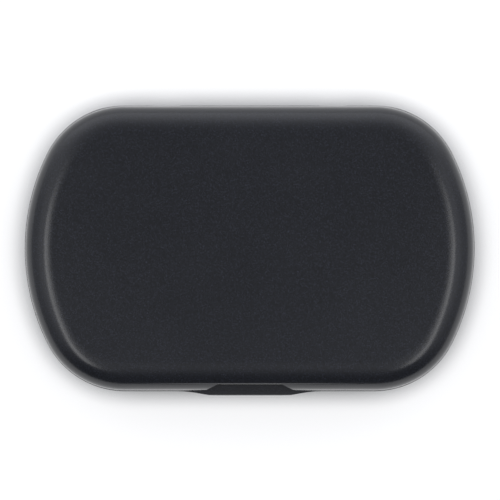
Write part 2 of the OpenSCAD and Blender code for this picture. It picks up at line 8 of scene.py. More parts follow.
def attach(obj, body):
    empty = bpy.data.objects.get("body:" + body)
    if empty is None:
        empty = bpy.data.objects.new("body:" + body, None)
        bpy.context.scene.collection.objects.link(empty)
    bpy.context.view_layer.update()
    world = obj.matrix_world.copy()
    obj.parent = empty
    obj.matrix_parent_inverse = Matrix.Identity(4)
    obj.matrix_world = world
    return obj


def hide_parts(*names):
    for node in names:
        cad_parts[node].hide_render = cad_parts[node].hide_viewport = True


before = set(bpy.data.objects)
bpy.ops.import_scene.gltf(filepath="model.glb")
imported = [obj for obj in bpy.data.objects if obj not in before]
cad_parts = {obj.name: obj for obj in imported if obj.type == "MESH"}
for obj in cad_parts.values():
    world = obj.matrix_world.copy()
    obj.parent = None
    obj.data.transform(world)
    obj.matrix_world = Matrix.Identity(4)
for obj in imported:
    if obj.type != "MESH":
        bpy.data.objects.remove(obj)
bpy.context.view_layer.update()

mm = 0.001
print("frame loaded:", len(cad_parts), "nodes")


# working in object and edit mode

def objectMode():
    bpy.ops.object.mode_set(mode="OBJECT")


def deselectAll():
    if bpy.context.mode != "OBJECT":
        objectMode()
    bpy.ops.object.select_all(action="DESELECT")


def makeActive(piece):
    deselectAll()
    piece.select_set(True)
    bpy.context.view_layer.objects.active = piece


def editAll(piece):
    makeActive(piece)
    bpy.ops.object.mode_set(mode="EDIT")
    bpy.ops.mesh.select_mode(type="VERT")
    bpy.ops.mesh.select_all(action="SELECT")


def closeUp(piece, mergeWithin=0.001):
    # welds what meets, fills what is open and turns the faces outwards
    editAll(piece)
    bpy.ops.mesh.remove_doubles(threshold=mergeWithin * mm)
    bpy.ops.mesh.fill_holes(sides=0)
    bpy.ops.mesh.select_all(action="SELECT")
    bpy.ops.mesh.normals_make_consistent(inside=False)
    objectMode()
    return piece


def applyModifiers(piece):
    makeActive(piece)
    for modifier in list(piece.modifiers):
        bpy.ops.object.modifier_apply(modifier=modifier.name)


def selectWhere(piece, test, kind="FACE"):
    # in edit mode, selects the faces, edges or vertices that pass a test of their middle
    makeActive(piece)
    bpy.ops.object.mode_set(mode="EDIT")
    bpy.ops.mesh.select_mode(type=kind)
    bpy.ops.mesh.select_all(action="DESELECT")
    objectMode()
    mesh = piece.data
    if kind == "FACE":
        for face in mesh.polygons:
            face.select = test(face.center / mm, face.normal)
    elif kind == "EDGE":
        for edge in mesh.edges:
            a, b = (mesh.vertices[i].co / mm for i in edge.vertices)
            edge.select = test((a + b) / 2, (b - a))
    else:
        for vertex in mesh.vertices:
            vertex.select = test(vertex.co / mm, vertex.normal)
    bpy.ops.object.mode_set(mode="EDIT")


def combine(piece, other, how, solver="MANIFOLD"):
    # joins another solid on, or cuts it out, and clears it away; a cutter stands a little past
    # what it cuts
    boolean = piece.modifiers.new(how.lower(), "BOOLEAN")
    boolean.operation = how
    boolean.solver = solver
    boolean.object = other
    applyModifiers(piece)
    bpy.data.objects.remove(other)
    return piece


def cutUpFlats(piece):
    # flats with openings in them become triangles, so that a bevel can't fold them
    editAll(piece)
    bpy.ops.mesh.select_mode(type="FACE")
    bpy.ops.mesh.select_face_by_sides(number=4, type="GREATER", extend=False)
    bpy.ops.mesh.quads_convert_to_tris(quad_method="BEAUTY", ngon_method="BEAUTY")
    objectMode()


def soften(piece, width, segments=2, degrees=35):
    bevel = piece.modifiers.new("soft edges", "BEVEL")
    bevel.width = width * mm
    bevel.segments = segments
    bevel.limit_method = "ANGLE"
    bevel.angle_limit = math.radians(degrees)
    bevel.use_clamp_overlap = False
    applyModifiers(piece)


def softenWhere(piece, width, test, segments=2, degrees=40):
    # rounds only the sharp edges whose middle passes a test
    cutUpFlats(piece)
    bpy.ops.object.mode_set(mode="EDIT")
    bpy.ops.mesh.select_mode(type="EDGE")
    bpy.ops.mesh.select_all(action="DESELECT")
    bpy.ops.mesh.edges_select_sharp(sharpness=math.radians(degrees))
    objectMode()
    points = piece.data.vertices
    chosen = [edge.select and test((points[edge.vertices[0]].co + points[edge.vertices[1]].co)
                                   / 2 / mm) for edge in piece.data.edges]
    for part in (*points, *piece.data.polygons):
        part.select = False
    for edge, kept in zip(piece.data.edges, chosen):
        edge.select = kept
        for i in edge.vertices if kept else ():
            points[i].select = True
    bpy.ops.object.mode_set(mode="EDIT")
    bpy.ops.mesh.bevel(offset=width * mm, segments=segments, affect="EDGES",
                       clamp_overlap=False)
    objectMode()


def smoothFaces(piece, degrees=32):
    makeActive(piece)
    bpy.ops.object.shade_smooth_by_angle(angle=math.radians(degrees))
    weighted = piece.modifiers.new("flat faces", "WEIGHTED_NORMAL")
    weighted.keep_sharp = True
    weighted.weight = 80
    applyModifiers(piece)


def wear(piece, material, body, slot, node=None):
    piece.data.materials.clear()
    piece.data.materials.append(material)
    for face in piece.data.polygons:
        face.material_index = 0
    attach(piece, body)
    if node:
        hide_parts(node)


# drawing

def drawPoints(name, points, closed=False):
    # a small plane gathered into one vertex, then drawn out from point to point (in mm)
    deselectAll()
    bpy.ops.mesh.primitive_plane_add(size=mm, location=(0, 0, 0))
    piece = bpy.context.object
    piece.name = name
    editAll(piece)
    bpy.ops.mesh.merge(type="CENTER")
    bpy.ops.transform.translate(value=tuple(Vector(points[0]) * mm))
    route = points[1:] + ([points[0]] if closed else [])
    last = Vector(points[0])
    for point in route:
        step = (Vector(point) - last) * mm
        bpy.ops.mesh.extrude_vertices_move(TRANSFORM_OT_translate={"value": tuple(step)})
        last = Vector(point)
    bpy.ops.mesh.select_all(action="SELECT")
    bpy.ops.mesh.remove_doubles(threshold=0.0002 * mm)
    bpy.ops.mesh.select_all(action="SELECT")
    return piece


def extrudeBy(step):
    bpy.ops.mesh.extrude_region_move(TRANSFORM_OT_translate={"value": tuple(Vector(step) * mm)})


def prism(name, points, along):
    # a closed flat shape (in mm) pushed out along a vector
    piece = drawPoints(name, points, closed=True)
    bpy.ops.mesh.edge_face_add()
    extrudeBy(along)
    return closeUp(piece)


def block(name, low, high):
    middle = [(a + b) / 2 * mm for a, b in zip(low, high)]
    deselectAll()
    bpy.ops.mesh.primitive_cube_add(size=1, location=middle,
                                    scale=[(b - a) * mm for a, b in zip(low, high)])
    piece = bpy.context.object
    piece.name = name
    bpy.ops.object.transform_apply(location=True, rotation=True, scale=True)
    return piece


def rodAlongX(name, x, y, z, radius, length, steps=48):
    deselectAll()
    bpy.ops.mesh.primitive_cylinder_add(vertices=steps, radius=radius * mm, depth=length * mm,
                                        location=(x * mm, y * mm, z * mm),
                                        rotation=(0, math.pi / 2, 0))
    piece = bpy.context.object
    piece.name = name
    bpy.ops.object.transform_apply(location=True, rotation=True, scale=True)
    return piece


def rounded(points, radii, steps=3):
    # a flat line of points with the corners named in radii (index: radius) rounded off
    out = []
    for i, point in enumerate(points):
        if i not in radii:
            out.append(point)
            continue
        here = Vector(point)
        before = (Vector(points[i - 1]) - here).normalized()
        after = (Vector(points[(i + 1) % len(points)]) - here).normalized()
        half = before.angle(after) / 2
        reach = radii[i] / math.tan(half)
        middle = here + (before + after).normalized() * (radii[i] / math.sin(half))
        start, end = here + before * reach - middle, here + after * reach - middle
        for k in range(steps + 1):
            ray = start.lerp(end, k / steps).normalized() * radii[i]
            out.append(tuple(middle + ray))
    return out


# the case's outline and its moulded sections

caseShape = {"width": 140, "depth": 89, "cornerRadius": 27, "sideRadius": 66,
             "cornerSteps": 18, "sideSteps": 26}
sideX = caseShape["width"] / 2 - caseShape["sideRadius"]
cornerY = caseShape["depth"] / 2 - caseShape["cornerRadius"]
sideAngle = math.asin(cornerY / (caseShape["sideRadius"] - caseShape["cornerRadius"]))
cornerX = sideX + (caseShape["sideRadius"] - caseShape["cornerRadius"]) * math.cos(sideAngle)
rimBack = caseShape["depth"] / 2


def sweepRound(piece):
    # carries the drawn section clockwise round the outline, from the right end of the back
    bpy.ops.mesh.select_all(action="SELECT")
    quarter = math.pi / 2 - sideAngle
    for side in (1, -1):
        for turn, steps, x, y in ((quarter, caseShape["cornerSteps"], cornerX, cornerY),
                                  (2 * sideAngle, caseShape["sideSteps"], sideX, 0),
                                  (quarter, caseShape["cornerSteps"], cornerX, -cornerY)):
            bpy.ops.mesh.spin(steps=steps, angle=turn, axis=(0, 0, 1),
                              center=(side * x * mm, side * y * mm, 0))
        extrudeBy((-side * 2 * cornerX, 0, 0))
    return closeUp(piece)


def swept(name, section):
    # section: (distance out from the rim, height)
    return sweepRound(drawPoints(name, [(cornerX, rimBack + out, z) for out, z in section]))


def mouldedEdge(inset, height, radius, draft, steps=14):
    # section of a drafted wall and its rounded edge, from the rim (height 0) to the flat
    slope = math.radians(draft)
    flat = (inset + (height - radius + radius * math.sin(slope)) * math.tan(slope)
            + radius * math.cos(slope))
    points = [(-inset, 0.0)]
    for i in range(steps + 1):
        a = slope + (math.pi / 2 - slope) * i / steps
        points.append((radius * math.cos(a) - flat, height - radius + radius * math.sin(a)))
    return points


def crowned(points, run, steps=6):
    # eases the last of a rounded edge into the flat, so that its shine has no hard end
    height = points[-1][1]
    (x0, z0), (x1, z1) = points[-2], points[-3]
    rise = (z0 - z1) / (x1 - x0) * 0.72 * run / 2
    drop = rise - (height - z0)
    out = [points[0]] + [(x, z - drop) for x, z in points[1:-1]]
    return out + [(x0 - run * k / steps, height - rise * (1 - k / steps) ** 2)
                  for k in range(1, steps + 1)]


# shared by both shells: all in millimetres and degrees, from the middle of the case's foot
hingeShape = {"spacing": 52, "y": 42.3, "z": 10.5, "knuckle": 1.9, "length": 8, "lug": 6,
              "pin": 0.8, "pinEdge": 0.2, "bore": 0.85, "gap": 0.35, "housingWall": 1.2,
              "drop": 3.5, "stop": 120, "armIn": 0.05, "armRise": 0.2, "armLean": 0.7,
              "armTop": 1.7}
pipShape = {"x": 25, "width": 5, "y": 43.1, "z": 14.5, "radius": 0.3, "slot": 43.55, "gap": 0.1}
notchShape = {"width": 29.8, "innerWidth": 20, "depth": 2.7, "wall": 1.4, "corner": 1.2,
              "cutFrom": 13, "cutHeight": 14, "backingIn": 0.9, "backingLift": 0.03,
              "edge": 0.6, "edgeTilt": 74, "edgeReach": 1.2, "edgeOver": 0.05, "edgeEnd": 0.2}
lidShape = {"seam": 14.1, "height": 11.4, "top": 1.7, "draft": 6.5, "edgeRadius": 7.4,
            "setback": 0.18, "inside": 2.05, "insideRadius": 5.2, "insideDraft": 12,
            "leaf": 1.2, "rebate": 1.1, "softRim": 0.12, "softLeaf": 0.08, "crown": 2.6}
nubShape = {"x": 36.4, "width": 5, "tip": 41.126, "root": 43.35, "z": 15.7, "drop": 0.49}


def cutNotch(lid, outer):
    # the thumb notch, with a wall behind it that follows the lid's own form
    shape, notch = lidShape, notchShape
    front, behind = -rimBack, -rimBack + notch["depth"]
    half, inner = notch["width"] / 2, notch["innerWidth"] / 2
    middle = mouldedEdge(shape["setback"] + notch["backingIn"], shape["height"] - shape["top"] / 2,
                         shape["edgeRadius"] - notch["backingIn"], shape["draft"])
    form = swept("backing", [(out, z + shape["seam"] + notch["backingLift"])
                             for out, z in middle])
    room = block("room", (-half - notch["wall"], front, shape["seam"] + 0.02),
                 (half + notch["wall"], behind + notch["wall"],
                  shape["seam"] + shape["height"] - shape["top"] / 2))
    combine(form, room, "INTERSECT")
    combine(lid, form, "UNION")
    out = half + (half - inner) / notch["depth"]
    plan = rounded([(-inner, behind), (inner, behind), (out, front - 1), (-out, front - 1)],
                   {0: notch["corner"], 1: notch["corner"]}, 5)
    cutter = prism("notch", [(x, y, notch["cutFrom"]) for x, y in plan],
                   (0, 0, notch["cutHeight"]))
    combine(lid, cutter, "DIFFERENCE")

    # a small slope along the notch's upper edge catches the light
    above = shape["seam"] + next(z0 + (z1 - z0) * (-notch["depth"] - x0) / (x1 - x0)
                                 for (x0, z0), (x1, z1) in zip(outer, outer[1:])
                                 if x1 <= -notch["depth"] <= x0)
    rise = math.tan(math.radians(notch["edgeTilt"]))
    low = above - notch["edge"]
    high = low + notch["edgeReach"] * rise
    left, over = notch["edgeEnd"] - inner, behind - notch["edgeOver"]
    edge = prism("edge", [(left, over, low - notch["edgeOver"] * rise),
                          (left, behind + notch["edgeReach"], high), (left, over, high)],
                 (-2 * left, 0, 0))
    combine(lid, edge, "DIFFERENCE")


def buildLid():
    shape = lidShape
    outer = crowned(mouldedEdge(shape["setback"], shape["height"], shape["edgeRadius"],
                                shape["draft"]), shape["crown"])
    inner = mouldedEdge(shape["inside"], shape["height"] - shape["top"],
                        shape["insideRadius"], shape["insideDraft"])
    rebateIn = (shape["inside"]
                + shape["rebate"] * math.tan(math.radians(shape["insideDraft"])))
    rim = [(-shape["leaf"], 0), (-shape["leaf"], shape["rebate"]), (-rebateIn, shape["rebate"])]
    corner = len(outer) - 1
    section = rounded(outer[::-1] + rim + inner[1:],
                      {corner: shape["softRim"], corner + 1: shape["softLeaf"]})
    lid = swept("lidShell", [(out, z + shape["seam"]) for out, z in section])
    cutNotch(lid, outer)

    # nubs hold the palette's edge up, and slots take the catch pips of the base
    nub, pip = nubShape, pipShape
    foot = nub["z"] - nub["drop"]
    for side in (-1, 1):
        for end in (-1, 1):
            profile = [(nub["tip"], nub["z"]), (nub["tip"], nub["z"] - nub["drop"] / 2),
                       (nub["tip"] + nub["drop"] / 2, foot), (nub["root"], foot),
                       (nub["root"], nub["z"])]
            left = side * nub["x"] - nub["width"] / 2
            combine(lid, prism("nub", [(left, end * y, z) for y, z in profile],
                               (nub["width"], 0, 0)), "UNION")
        half = pip["width"] / 2 + pip["gap"]
        slot = block("slot", (side * pip["x"] - half, -pip["slot"], shape["seam"] - 0.1),
                     (side * pip["x"] + half, -pip["slot"] + 1,
                      shape["seam"] + shape["rebate"] - 0.01))
        combine(lid, slot, "DIFFERENCE")

    hinge = hingeShape
    face = hinge["knuckle"] - hinge["armIn"]
    armTop = hinge["drop"] + hinge["armTop"]
    for side in (-1, 1):
        x = side * hinge["spacing"] / 2
        arm = [(x - hinge["length"] / 2, hinge["y"] + y, hinge["z"] + z) for y, z in (
            (0, 0), (face, 0), (face, hinge["drop"] + hinge["armRise"]),
            (face - hinge["armLean"], armTop), (0, armTop))]
        knuckle = rodAlongX("knuckle", x, hinge["y"], hinge["z"], hinge["knuckle"],
                            hinge["length"])
        combine(knuckle, prism("arm", arm, (hinge["length"], 0, 0)), "UNION")
        combine(knuckle, rodAlongX("bore", x, hinge["y"], hinge["z"], hinge["bore"],
                                   hinge["length"] + 4, 32), "DIFFERENCE")
        combine(lid, knuckle, "UNION")
    return lid


shellShape = {"rimHeight": 14, "wall": 2, "floor": 1.6, "draft": 5, "edgeRadius": 5,
              "tongueIn": 1.3, "tongueWall": 0.7, "tongueHeight": 1, "softRim": 0.18,
              "softTongue": 0.2, "rollLength": 140, "rollGap": 0.05}
lipShape = {"width": 44, "flat": 17, "reach": 1.5, "thickness": 2.2, "lean": 0.33,
            "fall": 0.14, "nose": 0.14, "lift": 0.004, "root": 1.8, "rootCut": 0.5,
            "window": 1.15, "steps": 14}


def buildLip(top):
    # straight in front, and swept back to the rim at both ends
    lip = lipShape
    half, front, back = lip["width"] / 2, -rimBack - lip["reach"], -rimBack + lip["root"]
    curve = [(half - (lip["width"] - lip["flat"]) / 2 * i / lip["steps"],
              -rimBack - lip["reach"] * (1 - math.cos(math.pi * i / lip["steps"])) / 2)
             for i in range(lip["steps"] + 1)]
    plan = [(half, back)] + curve + [(-x, y) for x, y in curve[::-1]] + [(-half, back)]
    under = top - lip["thickness"]
    body = prism("lip", [(x, y, under - 1) for x, y in plan], (0, 0, lip["thickness"] + 1))
    profile = rounded([(back, top), (front + lip["lean"], top - lip["fall"]), (front, under),
                       (back - lip["rootCut"], under), (back, under - lip["rootCut"])],
                      {1: lip["nose"], 2: lip["nose"]}, 4)
    combine(body, prism("lipSection", [(-half, y, z) for y, z in profile],
                        (lip["width"], 0, 0)), "INTERSECT")
    return body


def buildBase():
    shape = shellShape
    top = shape["rimHeight"]
    outer = mouldedEdge(0, top, shape["edgeRadius"], shape["draft"])
    inner = mouldedEdge(shape["wall"], top - shape["floor"], shape["edgeRadius"] - shape["wall"],
                        shape["draft"])
    tongueIn, tongueTop = shape["tongueIn"], top + shape["tongueHeight"]
    section = ([(out, top - z) for out, z in outer[::-1]]
               + [(-tongueIn, top), (-tongueIn, tongueTop),
                  (-tongueIn - shape["tongueWall"], tongueTop)]
               + [(out, top - z) for out, z in inner])
    corner = len(outer) - 1
    base = swept("baseShell", rounded(section, {corner: shape["softRim"],
                                                corner + 2: shape["softTongue"],
                                                corner + 3: shape["softTongue"]}))
    hinge = hingeShape
    reach = rimBack - hinge["y"]

    # the back rim is rounded about the hinges, so that the lid's edge rolls over it
    roll = block("roll", (-66, hinge["y"], hinge["z"]), (66, rimBack + 1, top + 3))
    combine(roll, rodAlongX("round", 0, hinge["y"], hinge["z"],
                            hinge["drop"] + shape["rollGap"], shape["rollLength"], 128),
            "DIFFERENCE")
    keep = swept("keep", [(-tongueIn, hinge["z"] - 1), (-tongueIn, top + 4)])
    combine(roll, keep, "DIFFERENCE")
    combine(base, roll, "DIFFERENCE")

    # housings in the back corners of the floor's edge, each with a pocket for a knuckle
    pocketHalf = hinge["length"] / 2 + hinge["gap"]
    housingHalf = pocketHalf + hinge["lug"]
    face = hinge["knuckle"] - hinge["armIn"]
    stop = math.radians(hinge["stop"])
    wallY = reach - 2 * hinge["drop"] * math.tan(math.radians(shape["draft"]))
    sill = (hinge["z"] - face * math.sin(stop)
            + (wallY - face * math.cos(stop)) / math.sin(stop) * math.cos(stop))
    front = hinge["y"] - hinge["knuckle"] - hinge["gap"] - hinge["housingWall"]
    wall = rimBack - shape["wall"] / 2
    low = sill - hinge["housingWall"]
    for side in (-1, 1):
        x = side * hinge["spacing"] / 2
        profile = [(front, low + 1), (front, top), (wall, top), (wall, low - 1),
                   (wall - shape["wall"], low - 1)]
        housing = prism("housing", [(x - housingHalf, y, z) for y, z in profile],
                        (2 * housingHalf, 0, 0))
        combine(base, housing, "UNION")
        pocket = block("pocket", (x - pocketHalf, front + hinge["housingWall"], sill),
                       (x + pocketHalf, rimBack + 2, top + 3))
        combine(base, pocket, "DIFFERENCE")
        combine(base, rodAlongX("bore", x, hinge["y"], hinge["z"], hinge["pin"],
                                2 * housingHalf + 2, 32), "DIFFERENCE")

    top += lipShape["lift"]
    combine(base, buildLip(top), "UNION")
    room = notchShape["width"] / 2 + notchShape["wall"] + 1
    window = block("window", (-room, -rimBack + lipShape["window"], top + 0.002),
                   (room, -rimBack + 6, top + 2))
    combine(base, window, "DIFFERENCE")
    pip = pipShape
    for side in (-1, 1):
        combine(base, rodAlongX("pip", side * pip["x"], -pip["y"], pip["z"], pip["radius"],
                                pip["width"], 24), "UNION")
    return base


# the tray and the palette

def sweptBox(name, low, high, section, corner):
    # the same section carried round a box with round corners
    x0, y0, x1, y1 = low[0] + corner, low[1] + corner, high[0] - corner, high[1] - corner
    piece = drawPoints(name, [(x1, high[1] + out, z) for out, z in section])
    for x, y, stepX, stepY in ((x1, y1, 0, y0 - y1), (x1, y0, x0 - x1, 0),
                               (x0, y0, 0, y1 - y0), (x0, y1, x1 - x0, 0)):
        bpy.ops.mesh.spin(steps=6, angle=math.pi / 2, axis=(0, 0, 1),
                          center=(x * mm, y * mm, 0))
        extrudeBy((stepX, stepY, 0))
    return closeUp(piece)


def wellForms(inset, boxes, rim, way, shape):
    # the forms of a set of wells, open at one height and sunk from it, up or down
    forms = []
    for x1, y1, x2, y2 in boxes:
        sections = [[(-edge, rim - 6 * way)]
                    + [(out, rim + way * deep)
                       for out, deep in mouldedEdge(edge, shape["wellDepth"], shape["wellRadius"],
                                                    shape["wellDraft"], 6)]
                    for edge in (inset, 0)]
        form = swept("well", sections[0])
        combine(form, sweptBox("box", (x1, y1), (x2, y2), sections[1], shape["wellCorner"]),
                "INTERSECT")
        forms.append(form)
    return forms


def wellBodies(inset, boxes, wall, low, high):
    # blocks round the wells, a wall larger than them
    bodies = []
    for x1, y1, x2, y2 in boxes:
        body = swept("wellBody", [(wall - inset, low), (wall - inset, high)])
        combine(body, block("box", (x1 - wall, y1 - wall, low - 1),
                            (x2 + wall, y2 + wall, high + 1)), "INTERSECT")
        bodies.append(body)
    return bodies


trayShape = {"inset": 2.6625, "deck": 12.0, "floor": 2.6, "wall": 1, "back": 38.45,
             "troughLength": 100.8, "troughCorner": 0.7, "endReach": 80, "frontReach": 60,
             "rows": ((25.85, 19.6), (8.55, 11.8), (-8.75, 19.6)),  # middle and width of each
             "roomGap": 0.4, "roomTop": 12.4, "border": 2.8, "wellDepth": 3.6,
             "wellCorner": 3, "wellRadius": 1.6, "wellDraft": 6, "softRim": 0.35,
             "softEdge": 0.28, "pans": 6, "pitch": 16.8, "divider": 1, "dividerHeight": 2.5,
             "bite": 0.3, "root": 0.5, "saddles": ((-24.5, 3.3), (10.0, 2.3)),
             "saddleTop": 6.2, "restZ": 6.75, "restGap": 0.05, "softDivider": 0.2,
             "softSaddle": 0.15}


def addRib(tray, x, row, top, softness, restRadius=None):
    # a rib across a trough, let into its floor and sides
    shape = trayShape
    y, width = row
    half, reach = shape["divider"] / 2, width / 2 + shape["bite"]
    rib = block("rib", (x - half, y - reach, shape["floor"] - shape["root"]),
                (x + half, y + reach, top))
    if restRadius:
        combine(rib, rodAlongX("rest", x, y, shape["restZ"], restRadius, 4), "DIFFERENCE")
    soften(rib, softness, 2)
    combine(tray, rib, "UNION")


def buildTray():
    shape = trayShape
    deck, wall, floor = shape["deck"], shape["wall"], shape["floor"]
    rim = rounded([(-shape["inset"], deck - wall), (-shape["inset"], deck),
                   (-shape["inset"] - 2, deck)], {1: shape["softRim"]}, 4)
    tray = swept("panTray", rim)
    combine(tray, block("behind", (-shape["endReach"], shape["back"], 0),
                        (shape["endReach"], shape["frontReach"], 20)), "DIFFERENCE")
    room = mouldedEdge(shellShape["wall"] + shape["roomGap"], shape["roomTop"],
                       shellShape["edgeRadius"] - shellShape["wall"], shellShape["draft"])
    half = shape["troughLength"] / 2
    for y, width in shape["rows"]:
        body = block("trough", (-half - wall, y - width / 2 - wall, floor - wall),
                     (half + wall, y + width / 2 + wall, deck - wall / 2))
        combine(body, swept("room", [(out, shellShape["rimHeight"] - z)
                                     for out, z in room[::-1]]), "INTERSECT")
        combine(tray, body, "UNION")

    # three wells along the front and one at each end
    back, front, border = shape["rows"][0], shape["rows"][2], shape["border"]
    frontY = front[0] - front[1] / 2
    endX = half + border
    third = (2 * endX - border) / 3
    boxes = [((i - 0.5) * third + border / 2, -shape["frontReach"],
              (i + 0.5) * third - border / 2, frontY - border) for i in (-1, 0, 1)]
    boxes += [(endX, frontY, shape["endReach"], shape["back"] - border),
              (-shape["endReach"], frontY, -endX, shape["back"] - border)]
    inset = shape["inset"] + border
    bottom = deck - shape["wellDepth"]
    for body in wellBodies(inset, boxes, wall, bottom - wall, deck - wall / 2):
        combine(tray, body, "UNION")
    for y, width in shape["rows"]:
        space = block("space", (-half, y - width / 2, floor), (half, y + width / 2, deck + 8))
        soften(space, shape["troughCorner"], 3)
        combine(tray, space, "DIFFERENCE")
    for form in wellForms(inset, boxes, deck, -1, shape):
        combine(tray, form, "DIFFERENCE")
    softenWhere(tray, shape["softEdge"], lambda middle: middle.z > deck - 0.01, 3)

    # ribs between the pans' feet, and the saddles under the brush
    for row in (back, front):
        for i in range(1, shape["pans"]):
            addRib(tray, -half + i * shape["pitch"], row, floor + shape["dividerHeight"],
                   shape["softDivider"])
    for x, radius in shape["saddles"]:
        addRib(tray, x, shape["rows"][1], shape["saddleTop"], shape["softSaddle"],
               radius + shape["restGap"])
    return tray


paletteShape = {"inset": 2.774, "face": 15.7, "wall": 1, "wellDepth": 3.8, "border": 2.8,
                "rib": 2.4, "ribX": 40, "reach": (80, 60), "wellCorner": 3, "wellRadius": 1.6,
                "wellDraft": 6, "softRim": 0.35, "softEdge": 0.3, "notchSide": 0.4,
                "notchBack": 0.15}


def buildPalette():
    shape = paletteShape
    face, wall = shape["face"], shape["wall"]
    rim = rounded([(-shape["inset"] - 2, face), (-shape["inset"], face),
                   (-shape["inset"], face + wall)], {1: shape["softRim"]}, 4)
    palette = swept("lidPalette", rim)
    half = shape["rib"] / 2
    reachX, reachY = shape["reach"]
    boxes = []
    for side in (1, -1):
        for near, far in ((half, shape["ribX"] - half), (shape["ribX"] + half, reachX)):
            x1, x2 = sorted((side * near, side * far))
            boxes.append((x1, -reachY, x2, reachY))
    inset = shape["inset"] + shape["border"]
    top = face + shape["wellDepth"]
    for body in wellBodies(inset, boxes, wall, face + wall / 2, top + wall):
        combine(palette, body, "UNION")
    for form in wellForms(inset, boxes, face, 1, shape):
        combine(palette, form, "DIFFERENCE")
    notch = notchShape
    x = notch["width"] / 2 + notch["wall"] + shape["notchSide"]
    y = -rimBack + notch["depth"] + notch["wall"] + shape["notchBack"]
    combine(palette, block("notchRoom", (-x, -rimBack, face - 2), (x, y, top + 3)), "DIFFERENCE")
    softenWhere(palette, shape["softEdge"], lambda middle: middle.z < face + 0.01, 3)
    return palette


# pans and cakes of paint

panShape = {"length": 19, "width": 16, "height": 10, "wall": 0.8, "corner": 1.8,
            "bandHeight": 1.4, "band": 0.3, "taper": 0.6, "footCorner": 0.5, "softEdge": 0.16}


def resizeTo(fromSize, toSize):
    bpy.ops.transform.resize(value=(toSize[0] / fromSize[0], toSize[1] / fromSize[1], 1))


def moveMesh(piece, x, y, z):
    editAll(piece)
    bpy.ops.transform.translate(value=(x * mm, y * mm, z * mm))
    objectMode()


def taperedForm(name, size, topSize, height):
    # a block whose sides lean out to its top, standing on z = 0
    piece = block(name, (-size[0] / 2, -size[1] / 2, 0), (size[0] / 2, size[1] / 2, height))
    selectWhere(piece, lambda middle, normal: normal.z > 0.9)
    resizeTo(size, topSize)
    return piece


def bevelUprights(piece, width, segments=6):
    selectWhere(piece, lambda middle, run: abs(run.z) > 3 * math.hypot(run.x, run.y), "EDGE")
    bpy.ops.mesh.bevel(offset=width * mm, segments=segments, affect="EDGES")
    objectMode()


def roundedFoot(form, width):
    selectWhere(form, lambda middle, normal: normal.z < -0.9)
    bpy.ops.mesh.bevel(offset=width * mm, segments=3, affect="EDGES")
    objectMode()


def insideForm(name, gap):
    # the pan's inside, less a gap all round
    shape = panShape
    less = 2 * (shape["band"] + shape["wall"] + gap)
    size = (shape["width"] - less, shape["length"] - less)
    foot = [side - 2 * shape["taper"] for side in size]
    form = taperedForm(name, foot, size, shape["height"] - shape["wall"])
    bevelUprights(form, shape["corner"] - shape["band"])
    roundedFoot(form, shape["footCorner"])
    return form, size


def buildPan():
    shape = panShape
    wide, long, high = shape["width"], shape["length"], shape["height"]
    band = shape["band"]
    size = (wide - 2 * band, long - 2 * band)
    pan = taperedForm("halfPan", [side - 2 * shape["taper"] for side in size], size, high)
    bevelUprights(pan, shape["corner"] - band)
    rim = taperedForm("band", (wide - band, long - band), (wide, long), shape["bandHeight"])
    bevelUprights(rim, shape["corner"])
    moveMesh(rim, 0, 0, high - shape["bandHeight"])
    combine(pan, rim, "UNION")
    space, size = insideForm("space", 0)
    moveMesh(space, 0, 0, shape["wall"])
    selectWhere(space, lambda middle, normal: normal.z > 0.9)
    extrudeBy((0, 0, 2))
    objectMode()
    combine(pan, space, "DIFFERENCE")
    softenWhere(pan, shape["softEdge"], lambda middle: True, 3)
    return pan


cakeShape = {"drop": 1.6, "hollow": 0.55, "hollowPower": 0.6, "creep": 0.75, "creepReach": 0.9,
             "creepFall": 2.2, "gap": 0.03, "uneven": 0.16, "swirls": 7, "rate": (0.25, 0.9),
             "strength": (0.2, 1.0), "sheet": (15, 18), "grid": (44, 52), "below": 12}


def buildCake(seed):
    # a cast cake: its top dries hollow, creeps up the pan's walls, and is a little uneven
    pan, cake = panShape, cakeShape
    form, size = insideForm("cakeForm", cake["gap"])
    deselectAll()
    wide, long = cake["sheet"]
    bpy.ops.mesh.primitive_grid_add(x_subdivisions=cake["grid"][0],
                                    y_subdivisions=cake["grid"][1], size=wide * mm)
    top = bpy.context.object
    top.name = "cake"
    editAll(top)
    resizeTo((wide, wide), (wide, long))
    objectMode()
    wave = random.Random(seed)
    swirl = [(wave.uniform(*cake["rate"]), wave.uniform(0, 2 * math.pi),
              wave.uniform(0, 2 * math.pi), wave.uniform(*cake["strength"]))
             for _ in range(cake["swirls"])]
    base = pan["height"] - pan["wall"] - cake["drop"]
    halfX, halfY = size[0] / 2 - 0.1, size[1] / 2 - 0.1
    for vertex in top.data.vertices:
        x, y = vertex.co.x / mm, vertex.co.y / mm
        edge = max(min(halfX - abs(x), halfY - abs(y)), 0)
        hollow = (max(0, 1 - (x / halfX) ** 2)
                  * max(0, 1 - (y / halfY) ** 2)) ** cake["hollowPower"]
        uneven = sum(strength * math.sin(rate * (x * math.cos(way) + y * math.sin(way)) + phase)
                     for rate, way, phase, strength in swirl) / 4
        height = (base - cake["hollow"] * hollow + cake["uneven"] * uneven * hollow
                  + cake["creep"] * math.exp(-edge / cake["creepReach"] * cake["creepFall"]))
        vertex.co.z = height * mm
    editAll(top)
    extrudeBy((0, 0, -cake["below"]))
    objectMode()
    closeUp(top)
    combine(top, form, "INTERSECT")
    moveMesh(top, 0, 0, pan["wall"])
    return top


def copyPiece(piece, name):
    makeActive(piece)
    bpy.ops.object.duplicate(linked=False)
    copy = bpy.context.object
    copy.name = name
    return copy


# the brush and the hinge pins

brushShape = {"length": 97, "hair": 14, "ferrule": 20, "handleRadius": 3.3,
              "ferruleRadius": 2.35, "mouth": 2.0, "sheet": 0.3, "neckGap": 0.05,
              "tenonGap": 0.02, "tenon": 8, "y": 8.55, "z": 6.7, "steps": 40}
